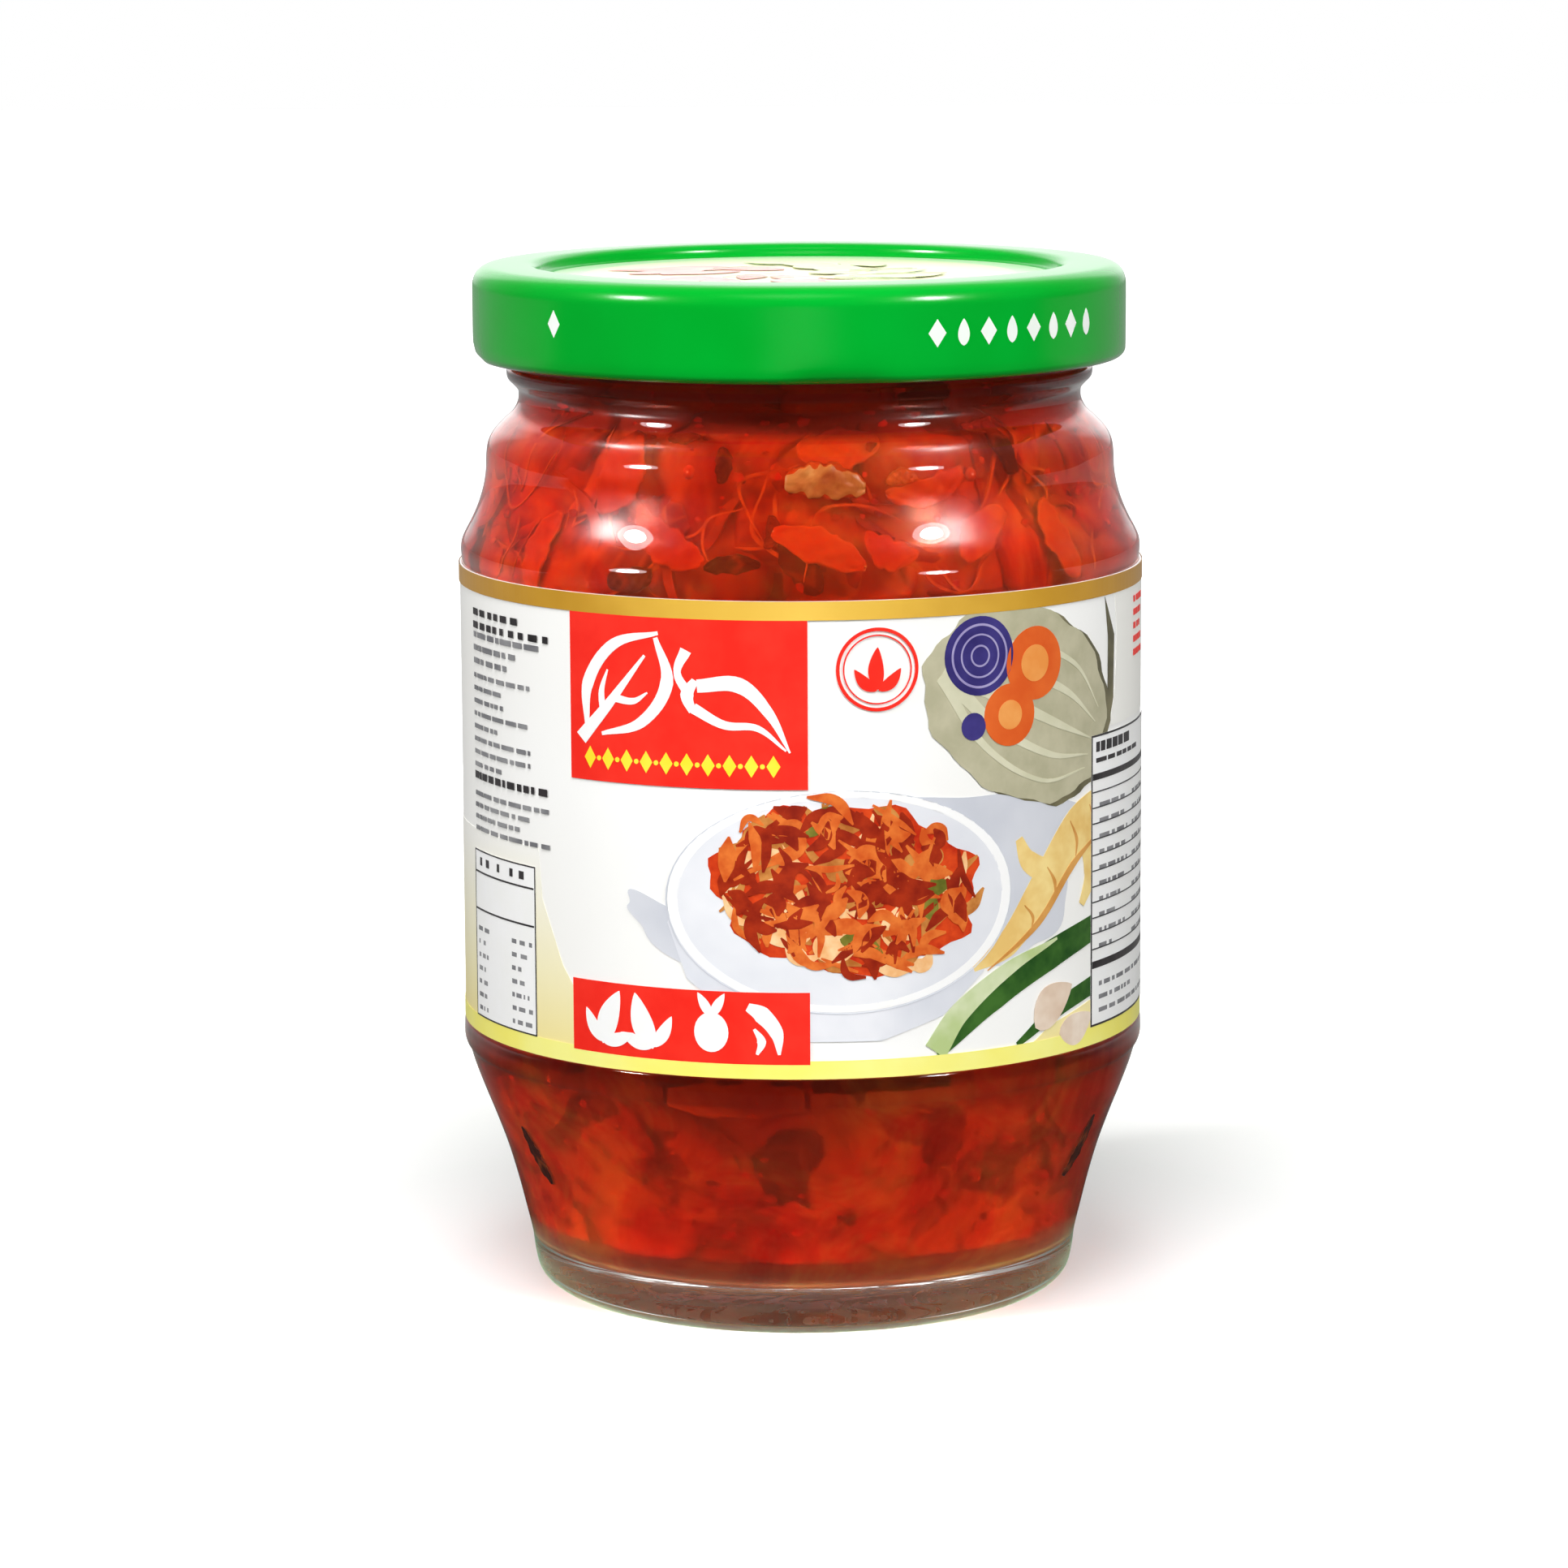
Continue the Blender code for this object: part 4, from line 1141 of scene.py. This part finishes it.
# Rows of leaves: their heights and how many leaves each row has
LEAF_ROWS = (((0.012, 0.019, 0.027), 13), ((0.085, 0.092, 0.099), 14), ((0.040, 0.055, 0.070), 5))


def make_leaves():
    """Pressed leaves over the whole wall, thickest where the glass shows them."""
    rng = np.random.default_rng(11)
    leaves = []
    for heights, count in LEAF_ROWS:
        for row, height in enumerate(heights):
            for i in range(count):
                angle = TURN * (i + rng.uniform(-0.3, 0.3) + 0.5 * (row % 2)) / count
                low = 1.0 if height < 0.03 else 0.0
                depth = rng.uniform(0.0008, 0.0026) + 0.0016 * low
                place = (angle, height + rng.uniform(-0.002, 0.002), rng.uniform(-1.3, 1.3), depth)
                size = (rng.uniform(0.017, 0.032), rng.uniform(0.009, 0.017), rng.uniform(0.0006, 0.0014))
                # Leaves in the foot get a slightly lighter, more orange tone: painted light, as with the gain
                # below the label.
                tone = LEAF_TONES[rng.integers(len(LEAF_TONES))] + 0.03 * low
                leaves.append(leaf_grid(rng, 26, 14, place, size, tone, flat=low > 0.0))
    return join_leaves("cabbage_leaves", leaves, leaf_material())


# Dark pieces that show against the glass: angle from the front and tilt in degrees, the rest in millimetres
NEAR_PIECES = (
    # angle, height, tilt, length, width, thickness, depth, tone
    (42.0, 97.2, 105.0, 5.6, 2.6, 0.9, 0.1, 0.02), (39.0, 99.4, 10.0, 4.6, 1.6, 0.7, 0.3, 0.10),
    (-14.5, 96.0, 95.0, 3.2, 1.8, 0.7, 0.3, 0.06), (-11.8, 85.7, 4.0, 6.0, 2.0, 0.8, 0.0, 0.00),
    (-0.2, 86.2, -58.0, 7.4, 3.8, 0.9, 0.5, 0.08), (-30.5, 83.9, 6.0, 5.2, 2.0, 0.8, 0.2, 0.06),
    (-23.5, 98.5, 4.0, 3.6, 1.4, 0.6, 0.3, 0.10), (-5.0, 89.2, 84.0, 3.6, 1.7, 0.7, 0.4, 0.20),
    (14.0, 29.6, 0.0, 15.0, 2.2, 0.8, 0.4, 0.12), (-3.0, 20.6, 60.0, 10.0, 7.0, 1.2, 2.6, 0.16),
    (29.0, 23.0, 100.0, 7.0, 5.0, 1.0, 2.8, 0.26), (-44.0, 25.5, 20.0, 8.0, 3.4, 1.0, 2.2, 0.26),
    # The two low pieces near the sides, at -64 and 68 degrees, are dark pieces in place of the dark room
    # refracted by the glass there: a painted reflection.
    (-64.0, 17.8, 112.0, 7.0, 2.3, 0.9, -0.28, 0.05), (68.0, 18.2, 68.0, 7.4, 2.3, 0.9, -0.28, 0.05),
    (150.0, 90.0, 20.0, 6.0, 2.0, 0.8, 0.1, 0.04), (-120.0, 94.0, 70.0, 5.0, 2.2, 0.8, 0.2, 0.06),
    (100.0, 86.0, 0.0, 6.0, 2.4, 0.8, 0.1, 0.05), (-165.0, 20.0, 50.0, 7.0, 2.6, 0.9, 0.3, 0.05),
)

# The same for lighter leaf pieces with clear outlines
OUTLINED_PIECES = (
    (3.4, 87.6, -22.0, 10.5, 3.8, 0.7, 0.0, 0.60), (15.6, 87.0, -24.0, 6.0, 3.6, 0.7, 0.1, 0.52),
    (-35.5, 94.6, 70.0, 9.0, 5.4, 0.7, 0.1, 0.66), (7.5, 97.6, 6.0, 9.0, 4.4, 0.7, 0.7, 0.74),
    (24.0, 93.4, 12.0, 9.0, 3.0, 0.7, 0.4, 0.66), (-12.0, 28.0, 2.0, 15.0, 3.6, 0.8, 0.4, 0.80),
    (-52.0, 86.0, 75.0, 9.0, 3.8, 0.7, 0.2, 0.64), (52.0, 87.0, 110.0, 9.0, 4.2, 0.7, 0.2, 0.60),
    (34.0, 88.4, 40.0, 8.0, 4.0, 0.7, 0.2, 0.58), (-24.0, 87.6, -30.0, 9.5, 4.0, 0.7, 0.3, 0.62),
    (140.0, 95.0, 30.0, 9.0, 4.0, 0.7, 0.2, 0.64), (-95.0, 88.0, -20.0, 10.0, 4.0, 0.7, 0.2, 0.62),
)


# Crisp pale pieces of the leaf's thick rib
RIB_PIECES = (
    (4.6, 94.5, -4.0, 8.4, 3.3, 1.6, -0.28, 0.8), (19.0, 94.8, 8.0, 3.4, 1.3, 1.2, 0.1, 0.8),
    (-150.0, 93.0, 10.0, 7.0, 3.0, 1.6, 0.1, 0.8), (118.0, 22.0, -20.0, 8.0, 3.4, 1.6, 0.4, 0.8),
)


def wall_pieces(rows, seed, outlined=0.0, columns=22, lines=12):
    rng = np.random.default_rng(seed)
    leaves = []
    for angle, height, tilt, length, width, thickness, depth, tone in rows:
        place = (FRONT + math.radians(angle), height * MM, math.radians(tilt), depth * MM)
        size = (length * MM, width * MM, thickness * MM)
        leaves.append(leaf_grid(rng, columns, lines, place, size, tone, flat=True, outlined=outlined))
    return leaves


def make_near_pieces():
    leaves = wall_pieces(NEAR_PIECES, 3) + wall_pieces(OUTLINED_PIECES, 4, 0.9)
    return join_leaves("leaf_pieces", leaves, leaf_material("leaf_piece", 0.25))


def make_ribs():
    return join_leaves("rib_pieces", wall_pieces(RIB_PIECES, 8, 0.0, 30, 16), rib_material())


def bent_strip(rng, angle, height, tilt, depth, length, width, bend):
    """A shred with four sides that follows the wall, as rings of points along its length."""
    steps = 14
    t = np.linspace(-0.5, 0.5, steps + 1)
    x = length * t
    wave = np.sin(TURN * (t * rng.uniform(1, 2) + rng.uniform()))
    y = bend * length * np.cos(math.pi * t * 1.4) + 0.03 * length * wave
    half = 0.5 * width * np.clip(1.0 - (2 * t) ** 8, 0.12, 1.0)
    across = x * math.cos(tilt) - y * math.sin(tilt)
    up = x * math.sin(tilt) + y * math.cos(tilt)
    rings = []
    for side, lift in ((-1, 0), (1, 0), (1, 1), (-1, 1)):
        dx = across - side * half * math.sin(tilt)
        z = np.clip(height + up + side * half * math.cos(tilt), 0.0088, FOOD_TOP)
        sag = 0.00012 + 0.0004 * np.sin(math.pi * (t + 0.5))
        radius = inside_radius(z) - depth - sag - lift * width * 0.8
        theta = angle + dx / radius
        rings.append(np.stack([radius * np.cos(theta), radius * np.sin(theta), z], axis=-1))
    points = np.stack(rings, axis=1).reshape(-1, 3)
    return points, tube_faces(steps)


def scatter_strips(seed, count, every, top, tilt, depth, length, width, bend, foot_drop=0.0):
    """Strips at random round the wall: one of every few in the foot, the others in the shoulder."""
    rng = np.random.default_rng(seed)
    strips = []
    for i in range(count):
        above = i % every > 0
        height = rng.uniform(SHOULDER_START, top) if above else rng.uniform(*FOOT_SPAN)
        strips.append(bent_strip(
            rng, rng.uniform(0, TURN), height, rng.uniform(-tilt, tilt),
            rng.uniform(*depth) + (0.0 if above else foot_drop),
            rng.uniform(*length), rng.uniform(*width), rng.uniform(-bend, bend),
        ))
    return strips


def make_shreds():
    strips = scatter_strips(21, 52, 3, 0.101, 1.4, (0.0004, 0.0026), (0.008, 0.018), (0.0009, 0.0015), 0.16)
    return join_sharp("carrot_shreds", strips, shred_material())


def make_rims():
    """Curled edges of leaves that touch the glass, seen as thin pale arcs."""
    strips = scatter_strips(
        41, 96, 7, 0.0985, 1.6, (0.0, 0.0012), (0.005, 0.013), (0.00025, 0.0005), 0.38, foot_drop=0.0012,
    )
    return join_sharp("leaf_rims", strips, rim_material())


FLAKE_COUNT = 520


def make_flakes():
    rng = np.random.default_rng(31)
    parts = []
    for i in range(FLAKE_COUNT):
        height = rng.uniform(0.0832, 0.1035) if i % 2 else rng.uniform(0.0095, 0.030)
        angle, size = rng.uniform(0, TURN), rng.uniform(0.0003, 0.0010)
        radius = float(inside_radius(height)) - rng.uniform(0.0001, 0.0022)
        corners = []
        turn = rng.uniform(0, TURN)
        for k in range(5):
            spoke = turn + TURN * k / 5
            reach = size * rng.uniform(0.6, 1.2)
            corners.append((reach * math.cos(spoke), reach * math.sin(spoke) * rng.uniform(0.6, 1.0)))
        lean = rng.uniform(-0.5, 0.5)
        points = []
        for lift in (0.0, FLAKE_THICKNESS):
            for dx, dz in corners:
                points.append(polar(radius - lift + lean * dx, angle + dx / radius, height + dz))
        faces = [(0, 1, 2, 3, 4), (9, 8, 7, 6, 5)]
        faces += [(k, k + 5, (k + 1) % 5 + 5, (k + 1) % 5) for k in range(5)]
        parts.append((np.array(points), faces))
    return join_sharp("chilli_flakes", parts, flake_material())


BUBBLES = (
    # angle, height, radius in millimetres
    (-21.0, 95.3, 0.62), (33.3, 94.7, 0.66), (-18.7, 90.4, 0.42), (25.4, 90.3, 0.38), (6.3, 88.7, 0.30),
    (-66.0, 93.0, 0.5), (-66.5, 88.8, 0.55), (-68.0, 85.4, 0.5), (57.4, 97.0, 0.5), (71.0, 87.0, 0.5),
    (36.0, 95.8, 0.34), (-36.0, 24.0, 0.42), (-25.0, 21.5, 0.34), (-50.0, 28.0, 0.40), (62.0, 25.0, 0.36),
    (120.0, 95.0, 0.5), (-130.0, 88.0, 0.5), (175.0, 92.0, 0.6), (-100.0, 24.0, 0.5), (140.0, 20.0, 0.4),
)


def make_bubbles():
    parts = []
    for angle, height, radius in BUBBLES:
        work = bmesh.new()
        bmesh.ops.create_icosphere(work, subdivisions=3, radius=radius * MM)
        reach = float(inside_radius(height * MM)) - 0.72 * radius * MM
        centre = polar(reach, FRONT + math.radians(angle), height * MM)
        points = np.array([vert.co[:] for vert in work.verts]) + np.array(centre)
        faces = [tuple(vert.index for vert in face.verts) for face in work.faces]
        work.free()
        parts.append((points, faces))
    return join_sharp("air_bubbles", parts, bubble_material())


def make_core():
    heights = np.linspace(FILL_HEIGHT - 0.003, 0.0082, 60)
    wall = [(inside_radius(h) - CORE_GAP, h) for h in heights]
    profile = [(0.0, FILL_HEIGHT - 0.002), *wall, (0.0, 0.0080)]

    def lumps(angles, radius, height):
        return 0.0008 * (
            np.sin(5 * angles + 310 * height) + 0.7 * np.sin(9 * angles - 520 * height)
            + 0.5 * np.sin(17 * angles + 900 * height)
        )

    return as_food(lathe("kimchi_core", profile, core_material(), 160, shift=lumps))


def make_brine():
    """The red liquid, out to just inside the glass at the wall and the floor."""
    inner = [(radius, height) for radius, height in inner_profile() if height < FILL_HEIGHT and radius > 0]
    wall = [(radius + WALL_BITE, height) for radius, height in inner]
    line = [(0.0, FLOOR_HEIGHT - 0.0002)]
    line += [(r, h - (WALL_BITE if r < 0.0270 and h < 0.02 else 0.0)) for r, h in wall]
    line += [(wall[-1][0] - 0.0008, FILL_HEIGHT - 0.0002), (0.0, FILL_HEIGHT)]
    return as_food(lathe("brine", line[::-1], brine_material(), 160))


def make_food():
    return [
        make_core(), make_leaves(), make_near_pieces(), make_ribs(), make_shreds(), make_rims(),
        make_flakes(), make_bubbles(), make_brine(),
    ]


# Stage

def make_floor():
    half, front = 3.0, -0.17
    points = [(-half, front, 0), (half, front, 0), (half, half, 0), (-half, half, 0)]
    floor = add_mesh("floor", points, [(0, 1, 2, 3)], floor_material(), smooth=False)


def make_camera():
    data = bpy.data.cameras.new("camera")
    data.lens = CAMERA_LENS
    data.sensor_width = CAMERA_SENSOR
    data.shift_x, data.shift_y = CAMERA_SHIFT
    camera = add_object("camera", data)
    place = Vector((
        0.0,
        -CAMERA_DISTANCE * math.cos(CAMERA_PITCH),
        CAMERA_AIM_HEIGHT + CAMERA_DISTANCE * math.sin(CAMERA_PITCH),
    ))
    tilt = Matrix.Rotation(0.5 * math.pi - CAMERA_PITCH, 4, "X")
    camera.matrix_world = Matrix.Translation(place) @ tilt @ Matrix.Rotation(CAMERA_ROLL, 4, "Z")
    bpy.context.scene.camera = camera


LAMP_AIM = Vector((0.0, 0.0, 0.06))

# Name, azimuth, elevation, distance, size and power
LAMPS = (
    ("lamp_left", -63.0, 30.0, 0.75, 0.10, 2.5), ("lamp_right", 49.0, 30.0, 0.75, 0.10, 2.3),
    ("halo_left", -63.0, 30.0, 0.76, 0.17, 0.6), ("halo_right", 49.0, 30.0, 0.76, 0.17, 0.6),
)

# The same for lamps that neither glass nor a reflection shows
FILLS = (("lamp_front", -5.0, 56.0, 0.80, 0.35, 4.4), ("lamp_table", 0.0, -3.0, 0.80, 0.30, 1.5))


def make_lamp(name, azimuth, elevation, distance, size, power):
    """A round softbox, aimed at the jar. Azimuth is seen from the front, positive to the right."""
    data = bpy.data.lights.new(name, "AREA")
    data.shape = "DISK"
    data.size = size
    data.energy = power
    lamp = add_object(name, data)
    side, lift = math.radians(azimuth), math.radians(elevation)
    way = Vector((math.sin(side) * math.cos(lift), -math.cos(side) * math.cos(lift), math.sin(lift)))
    lamp.location = LAMP_AIM + way * distance
    lamp.rotation_euler = way.to_track_quat("Z", "Y").to_euler()
    return lamp


def make_lamps():
    for row in LAMPS:
        make_lamp(*row)
    for row in FILLS:
        fill = make_lamp(*row)
        fill.visible_glossy = False
        fill.visible_transmission = False


def make_world():
    """A dark room, brighter high up and behind the jar. The camera sees plain white."""
    made = Nodes("studio", world=True)
    lift = made.math("MULTIPLY_ADD", made.axis("Z"), 0.45, made.axis("Y"))
    room = made.ramp(made.math("MULTIPLY_ADD", lift, 0.5, 0.5), [
        (place, grey(level))
        for place, level in ((0.12, 0.02), (0.45, 0.04), (0.70, 0.08), (0.87, 0.25), (0.96, 0.52), (1.0, 1.6))
    ])
    made.link(made.mix(made.ray("Is Camera Ray"), room, WHITE), made.shader.inputs["Color"])
    made.set(Strength=1.0)
    bpy.context.scene.world = made.owner


def main():
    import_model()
    make_camera()
    pieces = [make_glass(), make_cap(), make_paper(), *make_prints(), *make_cap_prints(), *make_food()]
    for piece in pieces:
        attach(piece, BODY)
    make_floor()
    make_world()
    make_lamps()
    bpy.context.scene.view_settings.view_transform = "Standard"


main()
